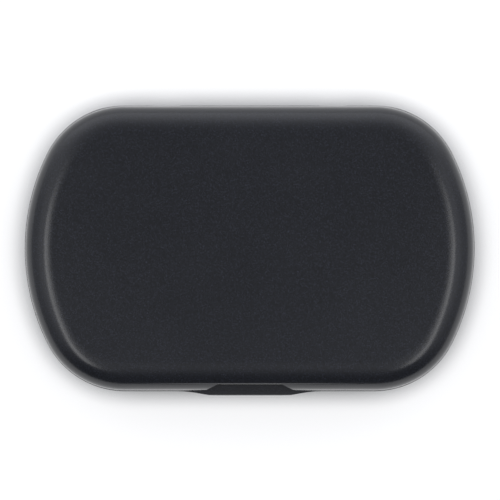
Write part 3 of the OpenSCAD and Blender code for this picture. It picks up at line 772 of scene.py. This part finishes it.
# distance from the handle's end, and share of its greatest radius
handleLine = ((0, 0), (0.05, 0.2), (0.2, 0.4), (0.6, 0.58), (1.3, 0.69), (2.4, 0.77),
              (6, 0.88), (10, 0.935), (14, 0.968), (19, 0.992), (24, 1), (29, 0.996),
              (34, 0.978), (39, 0.945), (44, 0.9), (50, 0.83))


def turned(name, points, steps):
    # a section of (distance along, radius) spun round the brush's own line
    y, z = brushShape["y"], brushShape["z"]
    piece = drawPoints(name, [(x, y, z + radius) for x, radius in points])
    bpy.ops.mesh.spin(steps=steps, angle=2 * math.pi, axis=(1, 0, 0),
                      center=(0, y * mm, z * mm))
    return closeUp(piece, 0.004)


def buildHandle():
    shape = brushShape
    start = -shape["length"] / 2
    end = shape["length"] / 2 - shape["hair"] - shape["ferrule"]
    neck = shape["ferruleRadius"] - shape["neckGap"]
    inside = shape["ferruleRadius"] - shape["sheet"] - shape["tenonGap"]
    points = [(start + x, shape["handleRadius"] * share) for x, share in handleLine]
    points += [(end - 5, neck), (end - 2, neck - 0.05), (end, neck - 0.1), (end + 0.02, inside),
               (end + shape["tenon"], inside - 0.1), (end + shape["tenon"], 0)]
    return turned("brushHandle", points, shape["steps"])


# where the ferrule's two crimps start, and a crimp's line: distance along, and depth
crimpStarts = (2, 4.4)
crimpLine = ((-0.25, 0), (0, 0.02), (0.25, 0.1), (0.6, 0.13), (0.95, 0.1), (1.2, 0.02),
             (1.45, 0))


def buildFerrule():
    shape = brushShape
    start = shape["length"] / 2 - shape["hair"] - shape["ferrule"]
    end = start + shape["ferrule"]
    r, mouth, sheet = shape["ferruleRadius"], shape["mouth"], shape["sheet"]
    points = [(start, r - sheet), (start, r - 0.08), (start + 0.08, r)]
    for crimp in crimpStarts:
        points += [(start + crimp + x, r - deep) for x, deep in crimpLine]
    points += [(start + 9, r), (start + 12, r - 0.08), (end - 0.5, mouth + 0.01),
               (end - 0.1, mouth), (end, mouth - 0.08), (end, mouth - sheet + 0.04),
               (end - 0.06, mouth - sheet), (start + shape["tenon"], r - sheet - 0.1),
               (start, r - sheet)]
    return turned("brushFerrule", points, shape["steps"])


hairShape = {"seed": 11, "strands": 190, "radius": 0.07, "points": 8, "turn": 0.381966,
             "hidden": 5, "lead": 1.5, "gap": 0.03, "core": 0.93, "coreLength": 0.97,
             "outermost": 0.99, "depthSpread": 0.12, "reachSpread": 0.16}
# share of the hair's length, and share of its radius at the ferrule
hairLine = ((0, 1.0), (0.15, 1.10), (0.35, 1.12), (0.55, 0.95), (0.75, 0.60), (0.9, 0.25),
            (1, 0.03))


def hairWidth(t):
    for (t1, s1), (t2, s2) in zip(hairLine, hairLine[1:]):
        if t <= t2:
            return s1 + (s2 - s1) * (t - t1) / (t2 - t1)
    return hairLine[-1][1]


def buildHair():
    # a turned core with single strands laid round it
    shape, look = brushShape, hairShape
    y, z, long = shape["y"], shape["z"], shape["hair"]
    end = shape["length"] / 2 - long
    root = shape["mouth"] - shape["sheet"] - look["gap"]
    points = [(end - look["hidden"], 0), (end - look["hidden"], root)]
    points += [(end + long * t, root * width * look["core"]) for t, width in hairLine[:-1]]
    hair = turned("brushHair", points + [(end + long * look["coreLength"], 0)], 24)
    scatter = random.Random(look["seed"])
    strands = []
    for i in range(look["strands"]):
        around = 2 * math.pi * (i * look["turn"] % 1)
        depth = root * (look["outermost"] - look["depthSpread"] * scatter.random())
        reach = long * (1 - look["reachSpread"] * scatter.random() ** 2)
        points = []
        for k in range(look["points"]):
            along = (reach + look["lead"]) * k / (look["points"] - 1) - look["lead"]
            out = depth * hairWidth(max(0, along / long))
            points.append((end + along, y + math.cos(around) * out, z + math.sin(around) * out))
        strands.append(drawPoints("strand", points))
    deselectAll()
    for strand in strands:
        strand.select_set(True)
    bpy.context.view_layer.objects.active = strands[0]
    bpy.ops.object.join()
    bpy.ops.object.convert(target="CURVE")
    bundle = bpy.context.object
    bundle.data.bevel_depth = look["radius"] * mm
    bundle.data.bevel_resolution = 0
    bundle.data.use_fill_caps = True
    bpy.ops.object.convert(target="MESH")
    bundle = closeUp(bpy.context.object, 0.0001)
    makeActive(hair)
    bundle.select_set(True)
    bpy.ops.object.join()
    return hair


def buildPin(side):
    hinge = hingeShape
    length = 2 * (hinge["length"] / 2 + hinge["gap"] + hinge["lug"])
    pin = rodAlongX("hingePinLeft" if side < 0 else "hingePinRight",
                    side * hinge["spacing"] / 2, hinge["y"], hinge["z"], hinge["pin"], length, 32)
    selectWhere(pin, lambda middle, normal: abs(normal.x) > 0.9)
    bpy.ops.mesh.bevel(offset=hinge["pinEdge"] * mm, segments=3, affect="EDGES")
    objectMode()
    return pin


# materials

def newMaterial(name):
    material = bpy.data.materials.new(name)
    material.use_nodes = True
    tree = material.node_tree
    return material, tree.nodes, tree.links, tree.nodes["Principled BSDF"]


def addSockets(group, inputs, outputs):
    for name, value in inputs:
        kind = "NodeSocketColor" if isinstance(value, tuple) else "NodeSocketFloat"
        socket = group.interface.new_socket(name=name, in_out="INPUT", socket_type=kind)
        socket.default_value = value
    for name, kind in outputs:
        group.interface.new_socket(name=name, in_out="OUTPUT", socket_type="NodeSocket" + kind)


def calculator(nodes, links):
    def calc(how, a, b, clamp=False):
        node = nodes.new("ShaderNodeMath")
        node.operation = how
        node.use_clamp = clamp
        for value, socket in ((a, node.inputs[0]), (b, node.inputs[1])):
            if isinstance(value, (int, float)):
                socket.default_value = value
            else:
                links.new(value, socket)
        return node.outputs[0]
    return calc


def objectCoords(nodes):
    return nodes.new("ShaderNodeTexCoord").outputs["Object"]


def scaledColor(nodes, links, color, scale):
    node = nodes.new("ShaderNodeVectorMath")
    node.operation = "SCALE"
    links.new(color, node.inputs[0])
    links.new(scale, node.inputs["Scale"])
    return node.outputs[0]


def noiseNode(nodes, links, coords, scale, detail=3.0, roughness=0.5, distortion=0.0):
    noise = nodes.new("ShaderNodeTexNoise")
    noise.inputs["Detail"].default_value = detail
    noise.inputs["Roughness"].default_value = roughness
    noise.inputs["Distortion"].default_value = distortion
    links.new(coords, noise.inputs["Vector"])
    if isinstance(scale, (int, float)):
        noise.inputs["Scale"].default_value = scale
    else:
        links.new(scale, noise.inputs["Scale"])
    return noise.outputs["Fac"]


def mixColors(nodes, links, factor, a, b, blend="MIX"):
    mix = nodes.new("ShaderNodeMix")
    mix.data_type = "RGBA"
    mix.blend_type = blend
    for value, socket in ((factor, mix.inputs[0]), (a, mix.inputs[6]), (b, mix.inputs[7])):
        if isinstance(value, tuple):
            socket.default_value = (*value[:3], 1)
        elif isinstance(value, (int, float)):
            socket.default_value = value
        else:
            links.new(value, socket)
    return mix.outputs[2]


def startGroup(name, inputs):
    group = bpy.data.node_groups.new(name, "ShaderNodeTree")
    addSockets(group, inputs, (("Color", "Color"), ("Roughness", "Float"), ("Height", "Float")))
    nodes = group.nodes
    return (group, nodes, group.links, nodes.new("NodeGroupInput").outputs,
            nodes.new("NodeGroupOutput").inputs)


def buildGrainAndGlintGroup():
    # a moulded surface: fine texture in tone and height, a slow drift in tone and gloss, and
    # painted glints, where the grain's tips are lightened in colour as if they caught the light
    group, nodes, links, entry, leave = startGroup("mouldedGrainAndPaintedGlint", (
        ("Color", (0.5, 0.5, 0.5, 1)), ("Grain Size", 3000.0), ("Speckle", 0.1),
        ("PaintedGlint", 0.0), ("Drift", 0.1), ("Gloss", 0.5), ("Gloss Change", 0.05)))
    calc = calculator(nodes, links)
    coords = objectCoords(nodes)
    fine = noiseNode(nodes, links, coords, entry["Grain Size"], 3.0, 0.6)
    slow = noiseNode(nodes, links, coords, 26.0, 4.0, 0.55)  # patches some 40 mm across
    fineOff, slowOff = calc("SUBTRACT", fine, 0.5), calc("SUBTRACT", slow, 0.5)
    tone = calc("ADD", calc("MULTIPLY", fineOff, entry["Speckle"]),
                calc("MULTIPLY", slowOff, entry["Drift"]))
    # painted highlight: the brightest tips of the grain are lightened in the colour as glints
    paintedGlintMask = calc("MULTIPLY", calc("SUBTRACT", fine, 0.58), 5.0, clamp=True)  # the tips only
    tone = calc("ADD", tone, calc("MULTIPLY", paintedGlintMask, entry["PaintedGlint"]))
    tone = calc("MAXIMUM", calc("ADD", tone, 1.0), 0.1)
    links.new(scaledColor(nodes, links, entry["Color"], tone), leave["Color"])
    change = calc("MULTIPLY", calc("ADD", fineOff, slowOff), entry["Gloss Change"])
    links.new(calc("ADD", entry["Gloss"], change), leave["Roughness"])
    links.new(fine, leave["Height"])
    return group


def buildCakeGroup():
    # dried paint: richer where it is thick, dusty in places, with pinholes and fine ripples
    group, nodes, links, entry, leave = startGroup("driedPaint", (
        ("Color", (0.5, 0.5, 0.5, 1)), ("Dust", 0.08), ("Gloss", 0.3)))
    calc = calculator(nodes, links)
    coords = objectCoords(nodes)
    cloud = noiseNode(nodes, links, coords, 170.0, 5.0, 0.6, 0.6)  # 6 mm across
    fine = noiseNode(nodes, links, coords, 1500.0, 4.0, 0.65)
    deep = scaledColor(nodes, links, entry["Color"],
                       calc("ADD", calc("MULTIPLY", cloud, 0.9), 0.5))
    chalk = calc("MULTIPLY", calc("SUBTRACT", fine, 0.42), 4.0, clamp=True)
    chalk = calc("MULTIPLY", chalk, entry["Dust"])
    links.new(mixColors(nodes, links, chalk, deep, (0.75, 0.72, 0.68)), leave["Color"])
    links.new(calc("ADD", entry["Gloss"], calc("MULTIPLY", cloud, 0.35)), leave["Roughness"])
    holes = nodes.new("ShaderNodeTexVoronoi")  # pinholes, only where the paint is thick
    holes.inputs["Scale"].default_value = 620.0
    links.new(coords, holes.inputs["Vector"])
    pit = calc("MULTIPLY", holes.outputs["Distance"], 6.0, clamp=True)
    pit = calc("MAXIMUM", pit, calc("SUBTRACT", 1.0, calc("GREATER_THAN", cloud, 0.53)))
    links.new(calc("ADD", calc("MULTIPLY", pit, 0.6), calc("MULTIPLY", fine, 0.4)),
              leave["Height"])
    return group


grainAndGlintGroup = buildGrainAndGlintGroup()
cakeGroup = buildCakeGroup()


def addBump(nodes, links, shader, height, look):
    bump = nodes.new("ShaderNodeBump")
    bump.inputs["Strength"].default_value = look["bump"]
    bump.inputs["Distance"].default_value = look["depth"] * mm
    links.new(height, bump.inputs["Height"])
    links.new(bump.outputs["Normal"], shader.inputs["Normal"])


def surfaceFrom(name, group, values, look):
    # a material that takes its colour, gloss and height from a shared group
    material, nodes, links, shader = newMaterial(name)
    effect = nodes.new("ShaderNodeGroup")
    effect.node_tree = group
    for socket, value in values.items():
        effect.inputs[socket].default_value = value
    links.new(effect.outputs["Color"], shader.inputs["Base Color"])
    links.new(effect.outputs["Roughness"], shader.inputs["Roughness"])
    addBump(nodes, links, shader, effect.outputs["Height"], look)
    shader.inputs["IOR"].default_value = look["ior"]
    return material


# the case plastic's glint level paints highlights onto the tips of its grain
plasticLooks = {
    "casePlastic": {"color": (0.0072, 0.0084, 0.0128), "grain": 2300.0, "speckle": 3.6,
                    "paintedGlintLevel": 1.6, "drift": 0.35, "roughness": 0.2, "glossChange": 0.10,
                    "bump": 0.5, "depth": 0.012, "ior": 1.5},
    "trayPlastic": {"color": (0.74, 0.74, 0.71), "grain": 1400.0, "speckle": 0.03,
                    "paintedGlintLevel": 0, "drift": 0.05, "roughness": 0.28, "glossChange": 0.10,
                    "bump": 0.15, "depth": 0.02, "ior": 1.49},
    "panPlastic": {"color": (0.80, 0.80, 0.78), "grain": 1100.0, "speckle": 0.03,
                   "paintedGlintLevel": 0, "drift": 0.04, "roughness": 0.22, "glossChange": 0.08,
                   "bump": 0.12, "depth": 0.02, "ior": 1.49},
}


def plasticMaterial(name):
    look = plasticLooks[name]
    return surfaceFrom(name, grainAndGlintGroup, {
        "Color": (*look["color"], 1), "Grain Size": look["grain"], "Speckle": look["speckle"],
        "PaintedGlint": look["paintedGlintLevel"], "Drift": look["drift"], "Gloss": look["roughness"],
        "Gloss Change": look["glossChange"]}, look)


paintLooks = {
    "paint_lemon": (0.84, 0.66, 0.02), "paint_deep_yellow": (0.80, 0.36, 0.008),
    "paint_orange": (0.72, 0.13, 0.006), "paint_scarlet": (0.52, 0.018, 0.010),
    "paint_crimson": (0.19, 0.004, 0.022), "paint_violet": (0.050, 0.008, 0.095),
    "paint_ultramarine": (0.008, 0.018, 0.24), "paint_sky_blue": (0.010, 0.14, 0.36),
    "paint_viridian": (0.004, 0.085, 0.058), "paint_sap_green": (0.045, 0.105, 0.008),
    "paint_ochre": (0.40, 0.165, 0.020), "paint_umber": (0.050, 0.020, 0.009)}
driedLook = {"bump": 0.5, "depth": 0.05, "ior": 1.5}


def paintMaterial(name, color):
    return surfaceFrom(name, cakeGroup, {"Color": (*color, 1)}, driedLook)


def stretchedCoords(nodes, links, scale):
    mapping = nodes.new("ShaderNodeMapping")
    mapping.inputs["Scale"].default_value = scale
    links.new(objectCoords(nodes), mapping.inputs["Vector"])
    return mapping.outputs["Vector"]


lacquerLook = {"deep": (0.090, 0.010, 0.006), "light": (0.200, 0.026, 0.014),
               "grain": (0.035, 0.006, 0.005), "grainShare": 0.55, "roughness": 0.2,
               "coat": 0.6, "coatRoughness": 0.08, "bump": 0.15, "depth": 0.02}


def lacquerMaterial():
    # wood grain under a clear lacquer
    look = lacquerLook
    material, nodes, links, shader = newMaterial("handleLacquer")
    calc = calculator(nodes, links)
    grain = noiseNode(nodes, links, stretchedCoords(nodes, links, (60, 1100, 1100)), 1.0, 6.0, 0.6)
    figure = noiseNode(nodes, links, stretchedCoords(nodes, links, (25, 260, 260)), 1.0, 4.0, 0.5)
    tone = mixColors(nodes, links, figure, look["deep"], look["light"])
    tone = mixColors(nodes, links, calc("MULTIPLY", grain, look["grainShare"]), tone,
                     look["grain"])
    links.new(tone, shader.inputs["Base Color"])
    links.new(calc("ADD", calc("MULTIPLY", grain, 0.12), look["roughness"]),
              shader.inputs["Roughness"])
    shader.inputs["Coat Weight"].default_value = look["coat"]
    shader.inputs["Coat Roughness"].default_value = look["coatRoughness"]
    addBump(nodes, links, shader, grain, look)
    return material


metalLooks = {
    "ferruleMetal": {"color": (0.80, 0.80, 0.82), "dull": (0.55, 0.55, 0.58), "roughness": 0.16,
                     "stretch": (200, 3000, 3000), "bump": 0.12, "depth": 0.02},
    "pinSteel": {"color": (0.56, 0.57, 0.58), "dull": (0.30, 0.29, 0.28), "roughness": 0.26,
                 "stretch": (3000, 300, 300), "bump": 0.12, "depth": 0.02},
}


def metalMaterial(name):
    # drawn or rolled metal: fine scratches along one way, and dull patches
    look = metalLooks[name]
    material, nodes, links, shader = newMaterial(name)
    calc = calculator(nodes, links)
    lines = noiseNode(nodes, links, stretchedCoords(nodes, links, look["stretch"]), 1.0, 5.0, 0.7)
    patch = noiseNode(nodes, links, objectCoords(nodes), 420.0, 4.0, 0.6)
    shade = calc("MULTIPLY", calc("SUBTRACT", patch, 0.45), 2.2, clamp=True)
    links.new(mixColors(nodes, links, calc("MULTIPLY", shade, 0.5), look["color"], look["dull"]),
              shader.inputs["Base Color"])
    gloss = calc("ADD", calc("MULTIPLY", lines, 0.22), look["roughness"])
    links.new(calc("ADD", gloss, calc("MULTIPLY", shade, 0.12)), shader.inputs["Roughness"])
    shader.inputs["Metallic"].default_value = 1.0
    addBump(nodes, links, shader, lines, look)
    return material


fibreLook = {"root": (0.075, 0.028, 0.010), "tip": (0.250, 0.110, 0.042),
             "between": (0.030, 0.012, 0.006), "start": 34.5, "length": 14,
             "roughness": 0.42, "sheen": 0.2, "bump": 0.5, "depth": 0.05}


def hairMaterial():
    # brown hair, dark at the ferrule and fairer to the tip, in streaks that make each strand a
    # little different, the darkest streaks a painted shade for the gaps between strands
    look = fibreLook
    material, nodes, links, shader = newMaterial("brushFibre")
    calc = calculator(nodes, links)
    strands = noiseNode(nodes, links, stretchedCoords(nodes, links, (90, 5200, 5200)), 1.0,
                        4.0, 0.6)
    place = nodes.new("ShaderNodeSeparateXYZ")
    links.new(objectCoords(nodes), place.inputs[0])
    along = calc("DIVIDE", calc("SUBTRACT", place.outputs["X"], look["start"] * mm),
                 look["length"] * mm, clamp=True)
    body = mixColors(nodes, links, along, look["root"], look["tip"])
    # painted shade: the dark between colour is laid in streaks as the shade in the gaps between
    # hairs
    inside = calc("MULTIPLY", calc("SUBTRACT", strands, 0.35), 2.4, clamp=True)
    links.new(mixColors(nodes, links, inside, look["between"], body),
              shader.inputs["Base Color"])
    shader.inputs["Roughness"].default_value = look["roughness"]
    shader.inputs["Sheen Weight"].default_value = look["sheen"]
    addBump(nodes, links, shader, strands, look)
    return material


casePlastic, trayPlastic, panPlastic = (
    plasticMaterial(name) for name in ("casePlastic", "trayPlastic", "panPlastic"))
ferruleMetal, pinSteel = metalMaterial("ferruleMetal"), metalMaterial("pinSteel")
handleLacquer = lacquerMaterial()
brushFibre = hairMaterial()
print("materials made")


# putting the pieces together

lid = buildLid()
softenWhere(lid, 0.1, lambda middle: middle.y > 43 and middle.z < 13.8)
smoothFaces(lid)
wear(lid, casePlastic, "lid", "case_plastic", "lid_shell")
base = buildBase()
softenWhere(base, 0.1, lambda middle: middle.y > 43.4 and middle.z > 5, 2, 50)
smoothFaces(base)
wear(base, casePlastic, "base", "case_plastic", "base_shell")
print("shells done")

tray = buildTray()
smoothFaces(tray)
wear(tray, trayPlastic, "base", "tray_plastic", "pan_tray")
palette = buildPalette()
smoothFaces(palette)
wear(palette, trayPlastic, "lid", "tray_plastic", "lid_palette")
print("tray and palette done")

panModel = buildPan()
smoothFaces(panModel)
inRow = trayShape["pans"]
for i, (cakeName, color) in enumerate(paintLooks.items()):
    x = (i % inRow - (inRow - 1) / 2) * trayShape["pitch"]
    y = trayShape["rows"][0 if i < inRow else 2][0]
    pan = copyPiece(panModel, "pan%02d" % (i + 1))
    moveMesh(pan, x, y, trayShape["floor"])
    wear(pan, panPlastic, "base", "pan_plastic", "half_pan_%02d" % (i + 1))
    cake = buildCake(i + 1)
    cake.name = "cake" + cakeName.removeprefix("paint_").title().replace("_", "")
    moveMesh(cake, x, y, trayShape["floor"])
    smoothFaces(cake, 50)
    wear(cake, paintMaterial(cake.name, color), "base", cakeName, cakeName)
bpy.data.objects.remove(panModel)
print("pans and paint done")

for build, material, slot, node in (
        (buildHandle, handleLacquer, "handle_lacquer", "brush_handle"),
        (buildFerrule, ferruleMetal, "ferrule_metal", "brush_ferrule"),
        (buildHair, brushFibre, "brush_fibre", "brush_hair"),
        (lambda: buildPin(-1), pinSteel, "pin_steel", "hinge_pin_left"),
        (lambda: buildPin(1), pinSteel, "pin_steel", "hinge_pin_right")):
    piece = build()
    smoothFaces(piece, 40)
    wear(piece, material, "base", slot, node)
print("brush and pins done")


# stage

# the floor's glow is darkened close to the case by ambient occlusion, as a painted shadow
floorLook = {"size": 6.0, "color": (0.60, 0.60, 0.60), "lift": 0.60, "contact": 10 * mm,
             "dark": 0.50, "bright": 0.92}
lampLooks = {
    "leftStrip": {"place": (-0.38, -0.22, 1.0), "size": (0.62, 0.16), "power": 1.03},
    "rightStrip": {"place": (0.38, -0.22, 1.0), "size": (0.62, 0.16), "power": 0.98},
}
# how bright the room is towards each side: (degrees down from overhead, level)
roomLevels = {
    "side": ((0, 0.31), (9, 0.33), (18, 0.8), (34, 1.1), (45, 0.95), (56, 0.72), (78, 0.6)),
    "back": ((0, 0.31), (9, 0.35), (20, 0.52), (31, 0.68), (42, 0.9), (54, 1.2), (65, 1.45),
             (78, 1.6)),
    "front": ((0, 0.31), (4, 0.5), (9, 0.62), (21, 0.46), (32, 0.33), (45, 0.24), (60, 0.19),
              (90, 0.15)),
}


def buildFloor():
    deselectAll()
    bpy.ops.mesh.primitive_plane_add(size=floorLook["size"], location=(0, 0, 0))
    floor = bpy.context.object
    floor.name = "floor"
    material, nodes, links, shader = newMaterial("paper")
    shader.inputs["Base Color"].default_value = (*floorLook["color"], 1)
    shader.inputs["Roughness"].default_value = 0.9
    shader.inputs["Specular IOR Level"].default_value = 0.1
    calc = calculator(nodes, links)
    path = nodes.new("ShaderNodeLightPath").outputs
    seen = calc("MAXIMUM", path["Is Camera Ray"], path["Is Glossy Ray"])
    seen = calc("MAXIMUM", seen, path["Is Transmission Ray"])
    # the floor's white glow, which fades by ambient occlusion where the case stands close: a
    # painted shadow on the floor
    shade = nodes.new("ShaderNodeAmbientOcclusion")
    shade.samples = 16
    shade.inputs["Distance"].default_value = floorLook["contact"]
    glowWithPaintedShadow = nodes.new("ShaderNodeMapRange")
    glowWithPaintedShadow.inputs["From Min"].default_value = floorLook["dark"]
    glowWithPaintedShadow.inputs["From Max"].default_value = floorLook["bright"]
    links.new(shade.outputs["AO"], glowWithPaintedShadow.inputs["Value"])
    lift = calc("MULTIPLY", seen, glowWithPaintedShadow.outputs["Result"])
    shader.inputs["Emission Color"].default_value = (1, 1, 1, 1)
    links.new(calc("MULTIPLY", lift, floorLook["lift"]), shader.inputs["Emission Strength"])
    floor.data.materials.append(material)


def buildLamps():
    for name, look in lampLooks.items():
        data = bpy.data.lights.new(name, "AREA")
        data.shape = "RECTANGLE"
        data.size, data.size_y = look["size"]
        data.energy = look["power"]
        lamp = bpy.data.objects.new(name, data)
        bpy.context.scene.collection.objects.link(lamp)
        lamp.location = look["place"]
        aim = Vector((0, look["place"][1], 0.01)) - Vector(look["place"])
        lamp.rotation_euler = aim.to_track_quat("-Z", "Y").to_euler()


def roomRamp(nodes, links, angle, stops):
    ramp = nodes.new("ShaderNodeValToRGB")
    marks = ramp.color_ramp.elements
    while len(marks) < len(stops):
        marks.new(0.5)
    for mark, (degrees, level) in zip(marks, stops):
        mark.position = degrees / 180
        mark.color = (level * 0.985, level, level * 1.05, 1)  # slightly cool
    links.new(angle, ramp.inputs["Fac"])
    return ramp.outputs["Color"]


def buildWorld():
    # a studio room: dim overhead, bright along the back wall, dark in front
    world = bpy.data.worlds.new("studio")
    bpy.context.scene.world = world
    world.use_nodes = True
    nodes, links = world.node_tree.nodes, world.node_tree.links
    calc = calculator(nodes, links)
    way = nodes.new("ShaderNodeSeparateXYZ")
    links.new(nodes.new("ShaderNodeTexCoord").outputs["Generated"], way.inputs[0])
    up, along = way.outputs["Z"], way.outputs["Y"]
    angle = calc("DIVIDE", calc("ARCCOSINE", up, 0), math.pi)
    flat = calc("SINE", calc("MULTIPLY", angle, math.pi), 0)
    turn = calc("DIVIDE", along, calc("MAXIMUM", flat, 0.01))
    behind = calc("MULTIPLY", calc("SUBTRACT", turn, 0.2), 1.6, clamp=True)
    ahead = calc("MULTIPLY", calc("SUBTRACT", calc("MULTIPLY", turn, -1.0), 0.2), 1.6,
                 clamp=True)
    level = {name: roomRamp(nodes, links, angle, stops) for name, stops in roomLevels.items()}
    room = mixColors(nodes, links, behind, level["side"], level["back"])
    links.new(mixColors(nodes, links, ahead, room, level["front"]),
              nodes["Background"].inputs["Color"])


cameraLook = {"lens": 150.0, "sensor": 36.0, "frame": 500, "pixel": 0.3111 * mm,
              "focusHeight": 14 * mm, "centre": (0.09 * mm, -0.54 * mm)}


def buildCamera():
    look = cameraLook
    data = bpy.data.cameras.new("camera")
    data.lens = look["lens"]
    data.sensor_width = look["sensor"]
    data.sensor_fit = "AUTO"
    data.clip_start = 0.01
    data.clip_end = 20
    camera = bpy.data.objects.new("camera", data)
    bpy.context.scene.collection.objects.link(camera)
    reach = look["frame"] * look["pixel"] * look["lens"] / look["sensor"]
    camera.location = (*look["centre"], look["focusHeight"] + reach)
    bpy.context.scene.camera = camera
    return camera


buildFloor()
buildLamps()
buildWorld()
camera = buildCamera()
bpy.context.scene.view_settings.view_transform = "Standard"
print("stage set")


# image points

# places in the 500 x 500 picture, in its pixels from the top left; "toward" is the way in the
# picture in which each is the last of what shows, "inside" keeps the search near it, in mm
imagePoints = {
    "caseLeft": {"point": (24.7, None), "toward": (-1, 0)},
    "caseRight": {"point": (474.7, None), "toward": (1, 0)},
    "caseTop": {"point": (None, 105.3), "toward": (0, -1)},
    "lipBottom": {"point": (None, 396.3), "toward": (0, 1)},
    "cornerTopLeft": {"point": (63.5, 130.6), "toward": (-1, -1), "inside": (-70, -40, 20, 46)},
    "cornerTopRight": {"point": (435.9, 130.6), "toward": (1, -1), "inside": (40, 70, 20, 46)},
    "cornerBottomLeft": {"point": (63.5, 365.8), "toward": (-1, 1),
                         "inside": (-70, -40, -46, -20)},
    "cornerBottomRight": {"point": (435.9, 365.8), "toward": (1, 1),
                          "inside": (40, 70, -46, -20)},
    "notchOuterLeft": {"point": (204.8, 388.7), "toward": (0.2, 1),
                       "inside": (-20, -11, -44.3, -40)},
    "notchOuterRight": {"point": (296.7, 388.7), "toward": (-0.2, 1),
                        "inside": (11, 20, -44.3, -40)},
    "lipFlatLeft": {"point": (215, 396.3), "toward": (-0.03, 1), "inside": (-20, 0, -47, -44.5)},
    "lipFlatRight": {"point": (285, 396.3), "toward": (0.03, 1), "inside": (0, 20, -47, -44.5)},
}


def pictureRay(x, y):
    # from the camera through a place in the picture
    data, frameSize = camera.data, cameraLook["frame"]
    way = Vector((x - frameSize / 2 + data.shift_x * frameSize,
                  frameSize / 2 - y + data.shift_y * frameSize,
                  -frameSize * data.lens / data.sensor_width))
    return camera.location.copy(), (camera.matrix_world.to_3x3() @ way).normalized()


def pictureSpot(place):
    # where a point of the object lies in the picture
    data, frameSize = camera.data, cameraLook["frame"]
    local = camera.matrix_world.inverted() @ place
    scale = frameSize * data.lens / data.sensor_width / -local.z
    return (frameSize / 2 - data.shift_x * frameSize + local.x * scale,
            frameSize / 2 + data.shift_y * frameSize - local.y * scale)


def surfaceTree(pieces):
    corners, faces = [], []
    for piece in pieces:
        first = len(corners)
        corners += [v.co.copy() for v in piece.data.vertices]
        piece.data.calc_loop_triangles()
        faces += [[first + i for i in face.vertices] for face in piece.data.loop_triangles]
    return corners, BVHTree.FromPolygons(corners, faces)


def placeAt(tree, x, y):
    # the place on a surface that shows at a place in the picture, or the nearest one to it
    start, way = pictureRay(x, y)
    hit = tree.ray_cast(start, way)[0]
    if hit is None:
        level = (start.z - cameraLook["focusHeight"]) / -way.z
        hit = tree.find_nearest(start + way * level)[0]
    return hit


def showing(tree, place):
    start = camera.location
    way = place - start
    return tree.ray_cast(start, way.normalized(), way.length - 0.05 * mm)[0] is None


def measurePoints():
    corners, tree = surfaceTree((lid, base))
    report = {}
    for name, look in imagePoints.items():
        x0, x1, y0, y1 = look.get("inside", (-200, 200, -200, 200))
        searched = corners[:len(lid.data.vertices)] if "notch" in name else corners
        near = [(pictureSpot(v), v) for v in searched
                if x0 * mm <= v.x <= x1 * mm and y0 * mm <= v.y <= y1 * mm]
        across, down = look["toward"]
        near.sort(key=lambda pair: -(pair[0][0] * across + pair[0][1] * down))
        spot = next((spot for spot, v in near if showing(tree, v)), None)
        wanted = look["point"]
        off = [None if want is None or spot is None else round(spot[i] - want, 2)
               for i, want in enumerate(wanted)]
        report[name] = {"point": wanted, "off": off}
        if None not in wanted:
            report[name]["surface"] = [round(value, 5) for value in placeAt(tree, *wanted)]


bpy.context.view_layer.update()
measurePoints()
print("image points measured")
